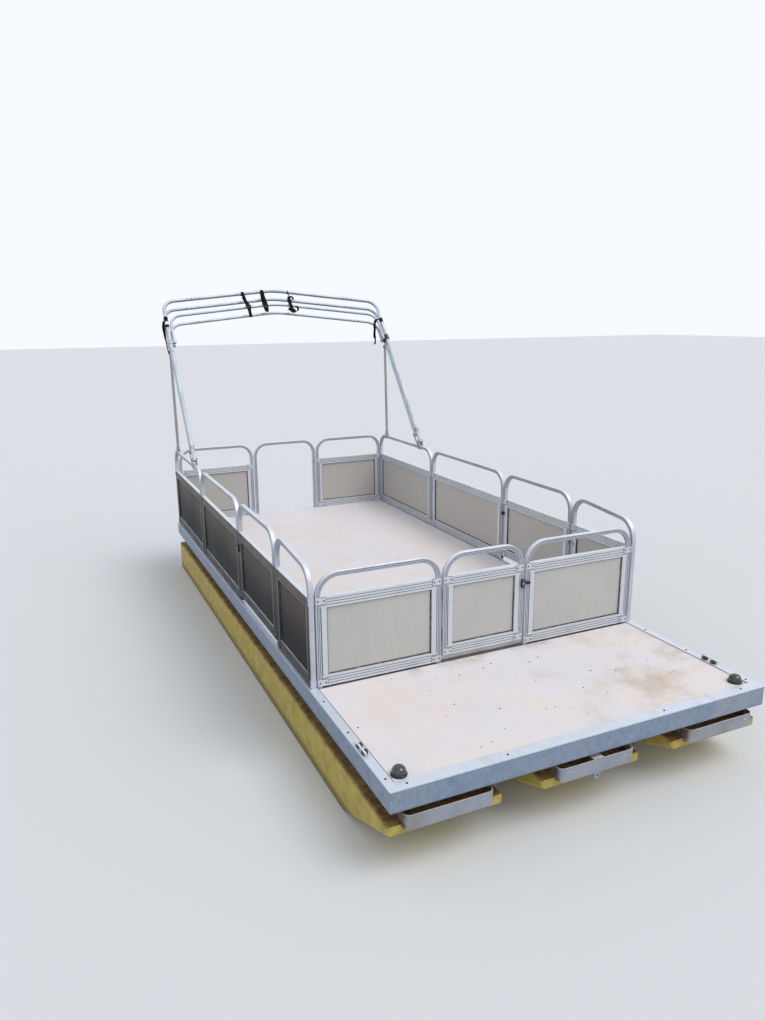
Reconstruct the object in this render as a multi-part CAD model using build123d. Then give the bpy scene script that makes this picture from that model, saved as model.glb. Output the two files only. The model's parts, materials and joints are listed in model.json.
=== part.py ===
from build123d import *
from collections import namedtuple
import math
import os

# Small pontoon boat with a fenced deck. Millimetres, +Z up, bow toward -Y, port toward +X.
# The origin is on the flat bottom of the centre float, at midships.

# Deck
deck_length = 4374
deck_width = 1980
deck_top = 460
deck_thickness = 20

# Edge extrusions around the deck
fascia_height = 95
fascia_thickness = 5
flange_thickness = 3
bow_flange = 56
side_flange = 42

# Floats
float_width = 530
float_top = 288
float_bow_setback = 31
float_stern_setback = 40
centre_float_stern_setback = 240
nose_face_height = 42
rake_angle = 22
keel_bend_radius = 260
float_edge_radius = 18

# Risers on the floats and crossbeams under the deck
riser_offset = 167
riser_width = 60
riser_flange = 16
riser_wall = 4
riser_bow_setback = 184
riser_stern_setback = 250
beam_count = 9
beam_width = 42
beam_height = 70
beam_wall = 4
beam_end_gap = 0.3
beam_bow_setback = 190
beam_stern_setback = 60

# Bow loops
loop_width = 404
loop_height = 53
loop_lip = 10
loop_bar = 5
loop_radius = 28
loop_reach = 6
loop_leg = 188
seat_gap = 0.2

# Towing eye
tow_strap_width = 54
tow_strap_length = 140
tow_thickness = 5
tow_eye_radius = 17
tow_hole_radius = 8
tow_eye_drop = 30

# Navigation lights
light_side_setback = 85
light_setback = 98
light_base_radius = 34
light_base_height = 8.5
light_dome_radius = 30
light_dome_height = 32
light_dome_round = 26

# Edge cleats
cleat_setback = 315
cleat_block = 24
cleat_block_height = 36
cleat_spacing = 54
cleat_bar_radius = 5
cleat_bar_length = 116
cleat_bar_offset = 6
cleat_bar_fit = 0.1

# Fence
tube_width = 25.4
tube_corner = 4
fence_inset = 11
fence_setback = 903
corner_gap = 6
panel_gap = 10
foot_gap = 8
hoop_corner = 110
side_height = 653
bow_height = 580
stern_drop = 6
bow_end_drop = 46
rail_drop = 118
rail_height = 54
stile_width = 26
stile_gap = 4
groove_width = 3
groove_depth = 1.5
groove_count = 3
flute_width = 3
flute_depth = 1.3
flute_offset = 4.2
skin_thickness = 3
skin_overlap = 8
skin_gap = 0.15
gusset_thickness = 2
gusset_height = 32
gusset_rise = 2
gusset_margin = 3
spacer_radius = 14
spacer_inset = 60

# Where the side fence divides, from the stern: panel, panel, gate, panel
stern_panel_length = 1067
side_gate_end = 35
side_gate_length = 765
bow_gate_centre = -20
bow_gate_width = 488
stern_hoop_width = 576
gate_foot = 36

# Gate hinges and latches
hinge_pin_radius = 4
hinge_fit = 0.05
hinge_barrel_radius = 8
hinge_rise = 8.6
hinge_knuckle = 20
hinge_knuckle_gap = 0.4
hinge_leaf = 3
hinge_leaf_length = 50
hinge_heights = (112, 330)
latch_z = 356
latch_height = 48
latch_width = 19
latch_thickness = 12
latch_setback = 3
latch_corner = 7
keeper_height = 15
keeper_gap = 5
knob_radius = 13
knob_height = 16

# Sun-top frame, folded aft. Stations are distances up the legs from the main bow's foot pin.
lean = 38
pivot_stern_setback = 839
pivot_rise = 40
leg_plane_gap = 45
short_leg_inset = 33
main_tube = 14
aft_tube = 12.7
short_tube = 11
main_shoulder = 1488
aft_drop = 56
third_drop = 149
fourth_drop = 148
aft_foot_station = 90
crown_rise = 127
crown_bend = 700
shoulder_radius = 105
foot_end = 14
slide_station = 1088
slide_length = 46
slide_wall = 6
slide_fit = 0.1
pin_radius = 4
pin_fit = 0.05
pin_cap = 3
pin_cap_radius = 7
cheek_thickness = 4
cheek_gap = 0.4
jaw_radius = 13
stay_radius = 9
mount_clamp_length = 44
mount_clamp_wall = 5
strut_tube = 11
strut_station = 1047
strut_clamp_length = 26
strut_eye_offset = 40
strut_lug_radius = 11
strut_lug_thickness = 3
strut_base_setback = 159
strut_socket_wall = 4
strut_socket_height = 52
strut_socket_floor = 22
strut_end = 13

# Tie straps on the main bow
strap_x = (-277, -100, 135)
strap_width = 25
strap_thickness = 2.5
strap_gap = 0.3
strap_length = 262
buckle_height = 34
buckle_width = 36
buckle_thickness = 9

# Motor transom
transom_width = 420
transom_thickness = 38
transom_top = 425
transom_bottom = 70
transom_aft = 62
transom_wall = 6
transom_forward = 235

os.makedirs("parts", exist_ok=True)

bow_y = -deck_length / 2
stern_y = deck_length / 2
half_beam = deck_width / 2
half_tube = tube_width / 2
float_spacing = half_beam - float_width / 2
beam_bottom = deck_top - deck_thickness - beam_height
fence_x = half_beam - fence_inset - half_tube
fence_bow_y = bow_y + fence_setback + half_tube
fence_stern_y = stern_y - fence_inset - half_tube
hinge_inset = half_tube + hinge_rise


def save(name, *shapes):
    """Write one node. Several shapes in it are like pieces that don't touch."""
    shape = shapes[0] if len(shapes) == 1 else Compound(children=list(shapes))
    export_step(shape, f"parts/{name}.step")


def block(x_range, y_range, z_range):
    """A box given by its limits along X, Y and Z."""
    limits = (x_range, y_range, z_range)
    size = [abs(high - low) for low, high in limits]
    centre = [(high + low) / 2 for low, high in limits]
    return Pos(*centre) * Box(*size)


def rod(start, end, radius):
    """A round bar between two points."""
    start = Vector(*start)
    end = Vector(*end)
    plane = Plane(origin=start, z_dir=end - start)
    return extrude(plane * Circle(radius), amount=(end - start).length)


def rounded_path(points, radii):
    """Straight runs between the points, joined by tangent arcs at the inner points."""
    corners = [Vector(*p) for p in points]
    edges = []
    start = corners[0]
    for corner, following, radius in zip(corners[1:-1], corners[2:], radii):
        before = (corner - start).normalized()
        after = (following - corner).normalized()
        half_turn = math.radians(before.get_angle(after) / 2)
        cut = radius * math.tan(half_turn)
        inward = (after - before).normalized()
        arc_start = corner - before * cut
        arc_end = corner + after * cut
        arc_middle = corner + inward * radius * (1 / math.cos(half_turn) - 1)
        edges.append(Edge.make_line(start, arc_start))
        edges.append(Edge.make_three_point_arc(arc_start, arc_middle, arc_end))
        start = arc_end
    edges.append(Edge.make_line(start, corners[-1]))
    return Wire(edges)


def tube_along(points, radii, radius):
    """A round bar along a rounded path."""
    run = Vector(*points[1]) - Vector(*points[0])
    section = Plane(origin=points[0], z_dir=run) * Circle(radius)
    return sweep(section, path=rounded_path(points, radii))


def both_sides(shape):
    """The shape and its mirror image on the other side of the boat."""
    return shape, mirror(shape, about=Plane.YZ)


# Floats: box hulls with a raked scow nose
def pontoon(centre_x, stern_setback):
    front = bow_y + float_bow_setback
    back = stern_y - stern_setback
    nose_z = float_top - nose_face_height
    rake_run = nose_z / math.tan(math.radians(rake_angle))
    outline = Polygon(
        (front, float_top),
        (front, nose_z),
        (front + rake_run, 0),
        (back, 0),
        (back, float_top),
        align=None,
    )
    bend = outline.vertices().filter_by(lambda v: abs(v.X - front - rake_run) < 1)
    side = Plane.YZ.offset(centre_x - float_width / 2) * fillet(bend, keel_bend_radius)
    hull = extrude(side, amount=float_width)
    long_edges = hull.edges().filter_by(lambda e: e.bounding_box().size.X < 1)
    return fillet(long_edges, float_edge_radius)


save("float_port", pontoon(float_spacing, float_stern_setback))
save("float_center", pontoon(0, centre_float_stern_setback))
save("float_starboard", pontoon(-float_spacing, float_stern_setback))


# Risers: hat sections along each float, which carry the crossbeams
def riser(centre_x):
    half = riser_width / 2
    length = (bow_y + riser_bow_setback, stern_y - riser_stern_setback)
    hat = block((centre_x - half, centre_x + half), length, (float_top, beam_bottom))
    hat -= block(
        (centre_x - half + riser_wall, centre_x + half - riser_wall),
        length,
        (float_top, beam_bottom - riser_wall),
    )
    feet = block(
        (centre_x - half - riser_flange, centre_x + half + riser_flange),
        length,
        (float_top, float_top + riser_wall),
    )
    feet -= block((centre_x - half, centre_x + half), length, (float_top, beam_bottom))
    return hat + feet


risers = [
    riser(float_x + side * riser_offset)
    for float_x in (-float_spacing, 0, float_spacing)
    for side in (-1, 1)
]
save("float_risers", *risers)


# Crossbeams: channels open toward the stern
def crossbeam(front):
    reach = half_beam - fascia_thickness - beam_end_gap
    top = deck_top - deck_thickness
    beam = block((-reach, reach), (front, front + beam_width), (beam_bottom, top))
    return beam - block(
        (-reach, reach),
        (front + beam_wall, front + beam_width),
        (beam_bottom + beam_wall, top - beam_wall),
    )


first_beam = bow_y + beam_bow_setback
last_beam = stern_y - beam_stern_setback - beam_width
beam_pitch = (last_beam - first_beam) / (beam_count - 1)
save("crossbeams", *[crossbeam(first_beam + i * beam_pitch) for i in range(beam_count)])

save(
    "deck_sheet",
    block(
        (-half_beam + fascia_thickness, half_beam - fascia_thickness),
        (bow_y + fascia_thickness, stern_y - fascia_thickness),
        (deck_top - deck_thickness, deck_top),
    ),
)


# Edge extrusions: a tall web outside the deck and a flange on top of it
fascia_bottom = deck_top + flange_thickness - fascia_height
web_z = (fascia_bottom, deck_top + flange_thickness)
flange_z = (deck_top, deck_top + flange_thickness)
bow_fascia = block((-half_beam, half_beam), (bow_y, bow_y + fascia_thickness), web_z)
bow_fascia += block((-half_beam, half_beam), (bow_y, bow_y + bow_flange), flange_z)
save("bow_fascia", bow_fascia)

side_web_y = (bow_y + fascia_thickness, stern_y - fascia_thickness)
side_flange_y = (bow_y + bow_flange, stern_y - side_flange)
side_fascia = block((half_beam - fascia_thickness, half_beam), side_web_y, web_z)
side_fascia -= block(
    (half_beam - fascia_thickness, half_beam),
    (bow_y, bow_y + bow_flange),
    flange_z,
)
side_fascia -= block(
    (half_beam - fascia_thickness, half_beam),
    (stern_y - side_flange, stern_y),
    flange_z,
)
side_fascia += block((half_beam - side_flange, half_beam), side_flange_y, flange_z)
save("side_fascias", *both_sides(side_fascia))

stern_fascia = block((-half_beam, half_beam), (stern_y - fascia_thickness, stern_y), web_z)
stern_fascia += block((-half_beam, half_beam), (stern_y - side_flange, stern_y), flange_z)
save("stern_fascia", stern_fascia)


# Bow loops: flat bars bent to a U, notched over the float's top, with the front ahead of its nose
def bow_loop(centre_x):
    front = bow_y - loop_reach
    back = front + loop_leg
    outer = Pos(centre_x, (front + back) / 2) * Rectangle(loop_width, loop_leg)
    inner = Pos(centre_x, (front + back + loop_bar) / 2) * Rectangle(
        loop_width - 2 * loop_bar, loop_leg - loop_bar
    )
    outer = fillet(outer.vertices().group_by(Axis.Y)[0], loop_radius)
    inner = fillet(inner.vertices().group_by(Axis.Y)[0], loop_radius - loop_bar)
    seat = float_top + seat_gap
    loop = Pos(0, 0, seat - loop_lip) * extrude(outer - inner, amount=loop_lip + loop_height)
    nose_y = bow_y + float_bow_setback
    return loop - block(
        (centre_x - loop_width, centre_x + loop_width),
        (nose_y - seat_gap, back),
        (seat - loop_lip, seat),
    )


save("bow_loops", *[bow_loop(x) for x in (-float_spacing, 0, float_spacing)])


# Towing eye: a flat strap on the middle loop's top, bent down behind its front to a round eye
def towing_eye():
    front = bow_y - loop_reach
    seat = float_top + loop_height + 2 * seat_gap
    half = tow_strap_width / 2
    strap = block((-half, half), (front, front + tow_strap_length), (seat, seat + tow_thickness))
    eye_z = float_top - tow_eye_drop
    hanger = Pos(0, (seat + eye_z) / 2) * Rectangle(2 * tow_eye_radius, seat - eye_z)
    hanger += Pos(0, eye_z) * Circle(tow_eye_radius)
    hanger -= Pos(0, eye_z) * Circle(tow_hole_radius)
    behind = front + loop_bar + seat_gap
    plane = Plane(origin=(0, behind, 0), x_dir=(1, 0, 0), z_dir=(0, -1, 0))
    return strap + extrude(plane * hanger, amount=-tow_thickness)


save("tow_eye", towing_eye())


# Navigation lights: a dome on a round base, red to port and green to starboard
light_x = half_beam - light_side_setback
standing = (Align.CENTER, Align.CENTER, Align.MIN)


def light_base(x):
    base = Cylinder(light_base_radius, light_base_height, align=standing)
    base = fillet(base.edges().group_by(Axis.Z)[-1], light_base_height / 4)
    return Pos(x, bow_y + light_setback, deck_top) * base


def light_dome(x):
    dome = Cylinder(light_dome_radius, light_dome_height, align=standing)
    dome = fillet(dome.edges().group_by(Axis.Z)[-1], light_dome_round)
    return Pos(x, bow_y + light_setback, deck_top + light_base_height) * dome


save("nav_light_bases", light_base(light_x), light_base(-light_x))
save("nav_light_port", light_dome(light_x))
save("nav_light_starboard", light_dome(-light_x))


# Edge cleats: two posts on the side flange, with a bar along their outboard top edge
cleat_x = half_beam - side_flange / 2
cleat_y = bow_y + cleat_setback
cleat_seat = deck_top + flange_thickness
cleat_bar_x = cleat_x + cleat_bar_offset
cleat_bar_z = cleat_seat + cleat_block_height


def cleat_post(y):
    half = cleat_block / 2
    post = block((cleat_x - half, cleat_x + half), (y - half, y + half), (cleat_seat, cleat_bar_z))
    post = fillet(post.edges().group_by(Axis.Z)[-1], cleat_bar_radius / 2)
    bore = cleat_bar_radius + cleat_bar_fit
    reach = cleat_block
    return post - rod((cleat_bar_x, y - reach, cleat_bar_z), (cleat_bar_x, y + reach, cleat_bar_z), bore)


posts = []
for end in (1, -1):
    posts += both_sides(cleat_post(cleat_y + end * cleat_spacing / 2))
save("cleat_feet", *posts)
cleat_bar = rod(
    (cleat_bar_x, cleat_y - cleat_bar_length / 2, cleat_bar_z),
    (cleat_bar_x, cleat_y + cleat_bar_length / 2, cleat_bar_z),
    cleat_bar_radius,
)
save("cleat_bars", *both_sides(cleat_bar))


# Fence walls. Along each, the local X runs along the wall and the local Y points outboard.
Wall = namedtuple("Wall", "x y turn sign deck_edge")
walls = {
    "port": Wall(fence_x, 0, -90, -1, flange_thickness),
    "starboard": Wall(-fence_x, 0, 90, 1, flange_thickness),
    "bow": Wall(0, fence_bow_y, 180, -1, 0),
    "stern": Wall(0, fence_stern_y, 0, 1, flange_thickness),
}

# A panel lies between two places along its wall, with the hoop's height and foot at each of them.
# Its rails start at the foot height.
Panel = namedtuple("Panel", "low high low_top high_top foot low_foot high_foot")

half_gap = panel_gap / 2
rail_top = bow_height - rail_drop
stern_height = side_height - stern_drop
side_bow_end = fence_bow_y - half_tube
side_stern_end = fence_stern_y + half_tube
stern_end = fence_x - half_tube - corner_gap
bow_end = stern_end
gate_port_end = bow_gate_centre + bow_gate_width / 2
gate_starboard_end = bow_gate_centre - bow_gate_width / 2
hoop_half = stern_hoop_width / 2

side_break_1 = stern_y - stern_panel_length
side_break_2 = side_gate_end
side_break_3 = side_gate_end - side_gate_length
bow_corner_height = side_height - bow_end_drop
on_flange = (foot_gap, flange_thickness, flange_thickness)
hung = (gate_foot, gate_foot, gate_foot)

side_panels = (
    Panel(side_break_1 + half_gap, side_stern_end, side_height, side_height, *on_flange),
    Panel(side_break_2 + half_gap, side_break_1 - half_gap, side_height, side_height, *on_flange),
    Panel(side_bow_end, side_break_3 - half_gap, bow_corner_height, side_height, *on_flange),
)
side_gate = Panel(side_break_3 + half_gap, side_break_2 - half_gap, side_height, side_height, *hung)
bow_panels = (
    Panel(-bow_end, gate_starboard_end - panel_gap, bow_height, bow_height, foot_gap, 0, 0),
    Panel(gate_port_end + panel_gap, bow_end, bow_height, bow_height, foot_gap, 0, 0),
)
bow_gate = Panel(gate_starboard_end, gate_port_end, bow_height, bow_height, *hung)
stern_panels = (
    Panel(-stern_end, -hoop_half - panel_gap, stern_height, stern_height, *on_flange),
    Panel(hoop_half + panel_gap, stern_end, stern_height, stern_height, *on_flange),
)
stern_hoop = Panel(-hoop_half, hoop_half, stern_height, stern_height, *on_flange)


def on_wall(wall, shape):
    return Pos(wall.x, wall.y, deck_top) * Rot(0, 0, wall.turn) * shape


def fluted_tube(points, radii):
    """A square tube in the local XZ plane, with two flutes along its outer and inner faces."""
    section = RectangleRounded(tube_width, tube_width, tube_corner)
    flute = Rectangle(flute_depth, flute_width)
    for side in (-1, 1):
        for offset in (-flute_offset, flute_offset):
            section -= Pos(side * (half_tube - flute_depth / 2), offset) * flute
    plane = Plane(origin=points[0], x_dir=(0, 1, 0), z_dir=(0, 0, 1))
    return sweep(plane * section, path=rounded_path(points, radii))


def hoop(wall, panel):
    """The bent tube around a panel."""
    low = wall.sign * (panel.low + half_tube)
    high = wall.sign * (panel.high - half_tube)
    points = (
        (low, 0, panel.low_foot),
        (low, 0, panel.low_top - half_tube),
        (high, 0, panel.high_top - half_tube),
        (high, 0, panel.high_foot),
    )
    return on_wall(wall, fluted_tube(points, (hoop_corner, hoop_corner)))


def frame_limits(panel, inset):
    """The panel's inside between the hoop legs, drawn in by the inset at both ends."""
    along = tube_width + seat_gap + inset
    return panel.low + along, panel.high - along


def frame(wall, panel):
    """Ribbed rails and stiles around the skin, with a plate over each corner and its hoop leg."""
    low, high = frame_limits(panel, 0)
    low, high = sorted((wall.sign * low, wall.sign * high))
    half = half_tube
    stile_out = stile_gap + stile_width
    rail_bases = (panel.foot, rail_top - rail_height)
    rails = [block((low, high), (-half, half), (base, base + rail_height)) for base in rail_bases]
    stiles = [
        block((x + toward * stile_gap, x + toward * stile_out), (-half, half), (panel.foot, rail_top))
        for x, toward in ((low, 1), (high, -1))
    ]
    body = rails[0] + rails[1] + stiles[0] + stiles[1]
    slot = skin_overlap + skin_gap
    seat = skin_thickness / 2 + skin_gap
    body -= block(
        (low + stile_out - slot, high - stile_out + slot),
        (-seat, seat),
        (panel.foot + rail_height - slot, rail_top - rail_height + slot),
    )
    pitch = rail_height / (groove_count + 1)
    for base in rail_bases:
        for i in range(groove_count):
            centre = base + (i + 1) * pitch
            for side in (-1, 1):
                body -= block(
                    (low, high),
                    (side * half, side * (half - groove_depth)),
                    (centre - groove_width / 2, centre + groove_width / 2),
                )
    over_leg = tube_width + seat_gap - gusset_margin
    gusset_bases = (panel.foot + gusset_rise, rail_top - gusset_rise - gusset_height)
    for x, toward in ((low, 1), (high, -1)):
        for base in gusset_bases:
            for side in (-1, 1):
                body += block(
                    (x - toward * over_leg, x + toward * (stile_out - gusset_margin)),
                    (side * half, side * (half + gusset_thickness)),
                    (base, base + gusset_height),
                )
    return on_wall(wall, body)


def skin(wall, panel):
    low, high = frame_limits(panel, stile_gap + stile_width - skin_overlap)
    low, high = sorted((wall.sign * low, wall.sign * high))
    half = skin_thickness / 2
    z_range = (panel.foot + rail_height - skin_overlap, rail_top - rail_height + skin_overlap)
    return on_wall(wall, block((low, high), (-half, half), z_range))


def spacers(wall, panel):
    """Round feet under the bottom rail, near its ends."""
    foot = Cylinder(spacer_radius, panel.foot - wall.deck_edge, align=standing)
    return [
        on_wall(wall, Pos(wall.sign * along, 0, wall.deck_edge) * foot)
        for along in frame_limits(panel, spacer_inset)
    ]


fixed_panels = {
    "port": side_panels,
    "starboard": side_panels,
    "bow": bow_panels,
    "stern": stern_panels,
}
skins = []
feet = []
for name, panels in fixed_panels.items():
    wall = walls[name]
    hoops = [hoop(wall, panel) for panel in panels]
    if name == "stern":
        hoops.append(hoop(wall, stern_hoop))
    save(f"hoops_{name}", *hoops)
    save(f"frames_{name}", *[frame(wall, panel) for panel in panels])
    skins += [skin(wall, panel) for panel in panels]
    for panel in panels:
        feet += spacers(wall, panel)
save("panel_skins", *skins)
save("fence_spacers", *feet)


# Gates: hinged at one end, with a latch at the other. The hinge pins lie inboard of the tubes.
Gate = namedtuple("Gate", "name wall panel hinge_at latch_at")
gates = (
    Gate("port_gate", walls["port"], side_gate, side_gate.low, side_gate.high),
    Gate("starboard_gate", walls["starboard"], side_gate, side_gate.low, side_gate.high),
    Gate("bow_gate", walls["bow"], bow_gate, bow_gate.low, bow_gate.high),
)


def hinge_end(gate):
    """Place of the hinge pin along the wall, and the direction from it into the gate."""
    inward = 1 if gate.hinge_at == gate.panel.low else -1
    sign = gate.wall.sign
    return sign * (gate.hinge_at - inward * half_gap), sign * inward


def knuckle(x, base, height, toward):
    """One hinge knuckle around the pin's place, with its leaf on the frame's inner face."""
    pin_y = -hinge_inset
    barrel = rod((x, pin_y, base), (x, pin_y, base + height), hinge_barrel_radius)
    leaf = block(
        (x, x + toward * hinge_leaf_length),
        (-half_tube - hinge_leaf, -half_tube),
        (base, base + height),
    )
    return barrel + leaf


def fixed_hinge(gate, base):
    x, toward = hinge_end(gate)
    pitch = hinge_knuckle + hinge_knuckle_gap
    shape = knuckle(x, base, hinge_knuckle, -toward)
    shape += knuckle(x, base + 2 * pitch, hinge_knuckle, -toward)
    top = base + 2 * pitch + hinge_knuckle
    shape += rod((x, -hinge_inset, base), (x, -hinge_inset, top), hinge_pin_radius)
    return on_wall(gate.wall, shape)


def moving_hinge(gate, base):
    x, toward = hinge_end(gate)
    pitch = hinge_knuckle + hinge_knuckle_gap
    shape = knuckle(x, base + pitch, hinge_knuckle, toward)
    bore = hinge_pin_radius + hinge_fit
    shape -= rod((x, -hinge_inset, base), (x, -hinge_inset, base + 3 * pitch), bore)
    return on_wall(gate.wall, shape)


def free_end(gate):
    """Place of the gate's free end along the wall, and the direction from it out of the gate."""
    outward = 1 if gate.latch_at == gate.panel.high else -1
    return gate.wall.sign * gate.latch_at, gate.wall.sign * outward


def latch_block(x_range, height):
    """A block with rounded corners on the outer face of the hoop legs."""
    shape = block(
        x_range,
        (half_tube, half_tube + latch_thickness),
        (latch_z - height / 2, latch_z + height / 2),
    )
    return fillet(shape.edges().filter_by(Axis.Y), latch_corner)


def latch(gate):
    """A latch on the outer face of the free leg, and its knob on the inner face."""
    edge, toward = free_end(gate)
    near = edge - toward * latch_setback
    body = latch_block((near - toward * latch_width, near), latch_height)
    leg = edge - toward * half_tube
    knob = rod((leg, -half_tube, latch_z), (leg, -half_tube - knob_height, latch_z), knob_radius)
    return on_wall(gate.wall, body), on_wall(gate.wall, knob)


def keeper(gate):
    """The catch on the next panel's leg, which the latch reaches."""
    edge, toward = free_end(gate)
    far = edge + toward * (panel_gap + tube_width)
    return on_wall(gate.wall, latch_block((edge + toward * keeper_gap, far), keeper_height))


hinges = []
for gate in gates:
    save(f"{gate.name}_hoop", hoop(gate.wall, gate.panel))
    save(f"{gate.name}_frame", frame(gate.wall, gate.panel))
    save(f"{gate.name}_skin", skin(gate.wall, gate.panel))
    save(f"{gate.name}_hinges", *[moving_hinge(gate, base) for base in hinge_heights])
    save(f"{gate.name}_latch", *latch(gate))
    hinges += [fixed_hinge(gate, base) for base in hinge_heights]
save("hinge_pins", *hinges)
save("gate_keepers", *[keeper(gate) for gate in gates])


# Sun-top frame. In a leg plane the local X is athwartships and the local Y runs up the legs.
lean_sin = math.sin(math.radians(lean))
lean_cos = math.cos(math.radians(lean))
forward = Vector(0, -lean_cos, lean_sin)
upward = Vector(0, lean_sin, lean_cos)
leg_x = fence_x
short_leg_x = leg_x - short_leg_inset
aft_shoulder = main_shoulder - aft_drop
third_shoulder = main_shoulder - third_drop
fourth_shoulder = aft_shoulder - fourth_drop
pivot = Vector(0, stern_y - pivot_stern_setback, deck_top + side_height + pivot_rise)
main_plane = Plane(origin=pivot, x_dir=(1, 0, 0), z_dir=forward)
aft_plane = Plane(origin=pivot - forward * leg_plane_gap, x_dir=(1, 0, 0), z_dir=forward)
aft_foot = aft_plane.origin + upward * aft_foot_station


def bow_tube(half_width, foot, shoulder, radius, pin_at):
    """A bow: two legs and a peaked crown, with a pin hole at the foot of each leg."""
    points = (
        (half_width, foot, 0),
        (half_width, shoulder, 0),
        (0, shoulder + crown_rise, 0),
        (-half_width, shoulder, 0),
        (-half_width, foot, 0),
    )
    shape = tube_along(points, (shoulder_radius, crown_bend, shoulder_radius), radius)
    reach = half_width + 2 * radius
    bore = rod((-reach, pin_at, 0), (reach, pin_at, 0), pin_radius + pin_fit)
    return shape - bore


def slide(tube):
    """A clamp around the leg, with a pin toward the middle for a short bow's foot."""
    outer = tube + slide_fit + slide_wall
    low = slide_station - slide_length / 2
    high = slide_station + slide_length / 2
    ring = rod((leg_x, low, 0), (leg_x, high, 0), outer)
    pin_end = short_leg_x - short_tube - cheek_gap
    pin = rod((leg_x, slide_station, 0), (pin_end - pin_cap, slide_station, 0), pin_radius)
    cap = rod((pin_end, slide_station, 0), (pin_end - pin_cap, slide_station, 0), pin_cap_radius)
    bore = rod((leg_x, low, 0), (leg_x, high, 0), tube + slide_fit)
    return ring + pin + cap - bore


main_bow = bow_tube(leg_x, -foot_end, main_shoulder, main_tube, 0)
aft_base = aft_foot_station - foot_end
aft_bow = bow_tube(leg_x, aft_base, aft_shoulder, aft_tube, aft_foot_station)
short_foot = slide_station - foot_end
third_bow = bow_tube(short_leg_x, short_foot, third_shoulder, short_tube, slide_station)
fourth_bow = bow_tube(short_leg_x, short_foot, fourth_shoulder, short_tube, slide_station)
save("main_bow", main_plane.location * main_bow)
save("aft_bow", aft_plane.location * aft_bow)
save("third_bow", main_plane.location * third_bow)
save("fourth_bow", aft_plane.location * fourth_bow)
save("main_bow_slides", *both_sides(main_plane.location * slide(main_tube)))
save("aft_bow_slides", *both_sides(aft_plane.location * slide(aft_tube)))


# Fittings of the sun top: clamps on the rail, flat links and headed pins
rail_z = deck_top + side_height - half_tube


def rail_clamp(y):
    """A clamp around the square rail, and the opening to cut through it."""
    half = mount_clamp_length / 2
    inner = half_tube + slide_fit
    outer = inner + mount_clamp_wall
    clamp = block(
        (fence_x - outer, fence_x + outer), (y - half, y + half), (rail_z - outer, rail_z + outer)
    )
    clamp = fillet(clamp.edges().filter_by(Axis.Y), tube_corner + mount_clamp_wall)
    reach = mount_clamp_length
    opening = block(
        (fence_x - inner, fence_x + inner), (y - reach, y + reach), (rail_z - inner, rail_z + inner)
    )
    return clamp, opening


def link(start, end, radius, x_low, thickness):
    """A flat plate with round ends, square to the pins at its two ends."""
    middle = (start + end) / 2
    run = end - start
    plane = Plane(origin=(x_low, middle.Y, middle.Z), x_dir=(0, run.Y, run.Z), z_dir=(1, 0, 0))
    return extrude(plane * SlotCenterToCenter(run.length, 2 * radius), amount=thickness)


def headed_pin(at, reach):
    """A pin across the port leg, with a head past its reach on each side."""
    low = leg_x - reach
    high = leg_x + reach
    pin = rod((low, at.Y, at.Z), (high, at.Y, at.Z), pin_radius)
    pin += rod((low - pin_cap, at.Y, at.Z), (low, at.Y, at.Z), pin_cap_radius)
    return pin + rod((high, at.Y, at.Z), (high + pin_cap, at.Y, at.Z), pin_cap_radius)


# Rail mounts: a jaw for the main bow's foot, and a pair of long stays for the aft bow's foot
def top_mount():
    inner = main_tube + cheek_gap
    outer = inner + cheek_thickness
    seat = Vector(0, pivot.Y, rail_z)
    clamp, opening = rail_clamp(pivot.Y)
    shape = clamp
    for x_low in (leg_x - outer, leg_x + inner):
        shape += link(seat, pivot, jaw_radius, x_low, cheek_thickness)
        shape += link(seat, aft_foot, stay_radius, x_low, cheek_thickness)
    shape -= opening
    return shape + headed_pin(pivot, outer) + headed_pin(aft_foot, outer)


save("top_mounts", *both_sides(top_mount()))

# Aft struts: from a socket on the rail up to a clamp with two lugs on the aft bow's leg
strut_hold = aft_plane.origin + upward * strut_station
strut_eye = strut_hold - forward * strut_eye_offset
strut_foot_z = rail_z + strut_socket_floor + seat_gap
strut_base_y = stern_y - strut_base_setback
strut_foot = Vector(leg_x, strut_base_y, strut_foot_z)
strut_run = (Vector(leg_x, strut_eye.Y, strut_eye.Z) - strut_foot).normalized()


def strut():
    eye = Vector(leg_x, strut_eye.Y, strut_eye.Z)
    bar = rod(strut_foot, eye + strut_run * strut_end, strut_tube)
    reach = 2 * strut_tube
    bore_radius = pin_radius + pin_fit
    return bar - rod((leg_x - reach, eye.Y, eye.Z), (leg_x + reach, eye.Y, eye.Z), bore_radius)


def strut_socket():
    rail = Vector(fence_x, strut_base_y, rail_z)
    seat = strut_foot - strut_run * seat_gap
    bore_radius = strut_tube + slide_fit
    clamp, opening = rail_clamp(strut_base_y)
    cup = rod(rail, rail + strut_run * strut_socket_height, bore_radius + strut_socket_wall)
    cup -= rod(seat, seat + strut_run * strut_socket_height, bore_radius)
    return cup + clamp - opening


def strut_pin():
    inner = strut_tube + cheek_gap
    outer = inner + strut_lug_thickness
    hold = Vector(leg_x, strut_hold.Y, strut_hold.Z)
    run = upward * strut_clamp_length
    clamp = rod(hold - run / 2, hold + run / 2, aft_tube + slide_fit + mount_clamp_wall)
    for x_low in (leg_x - outer, leg_x + inner):
        clamp += link(strut_hold, strut_eye, strut_lug_radius, x_low, strut_lug_thickness)
    clamp -= rod(hold - run, hold + run, aft_tube + slide_fit)
    return clamp + headed_pin(strut_eye, outer)


save("struts", *both_sides(strut()))
save("strut_sockets", *both_sides(strut_socket()))
save("strut_pins", *both_sides(strut_pin()))


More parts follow.
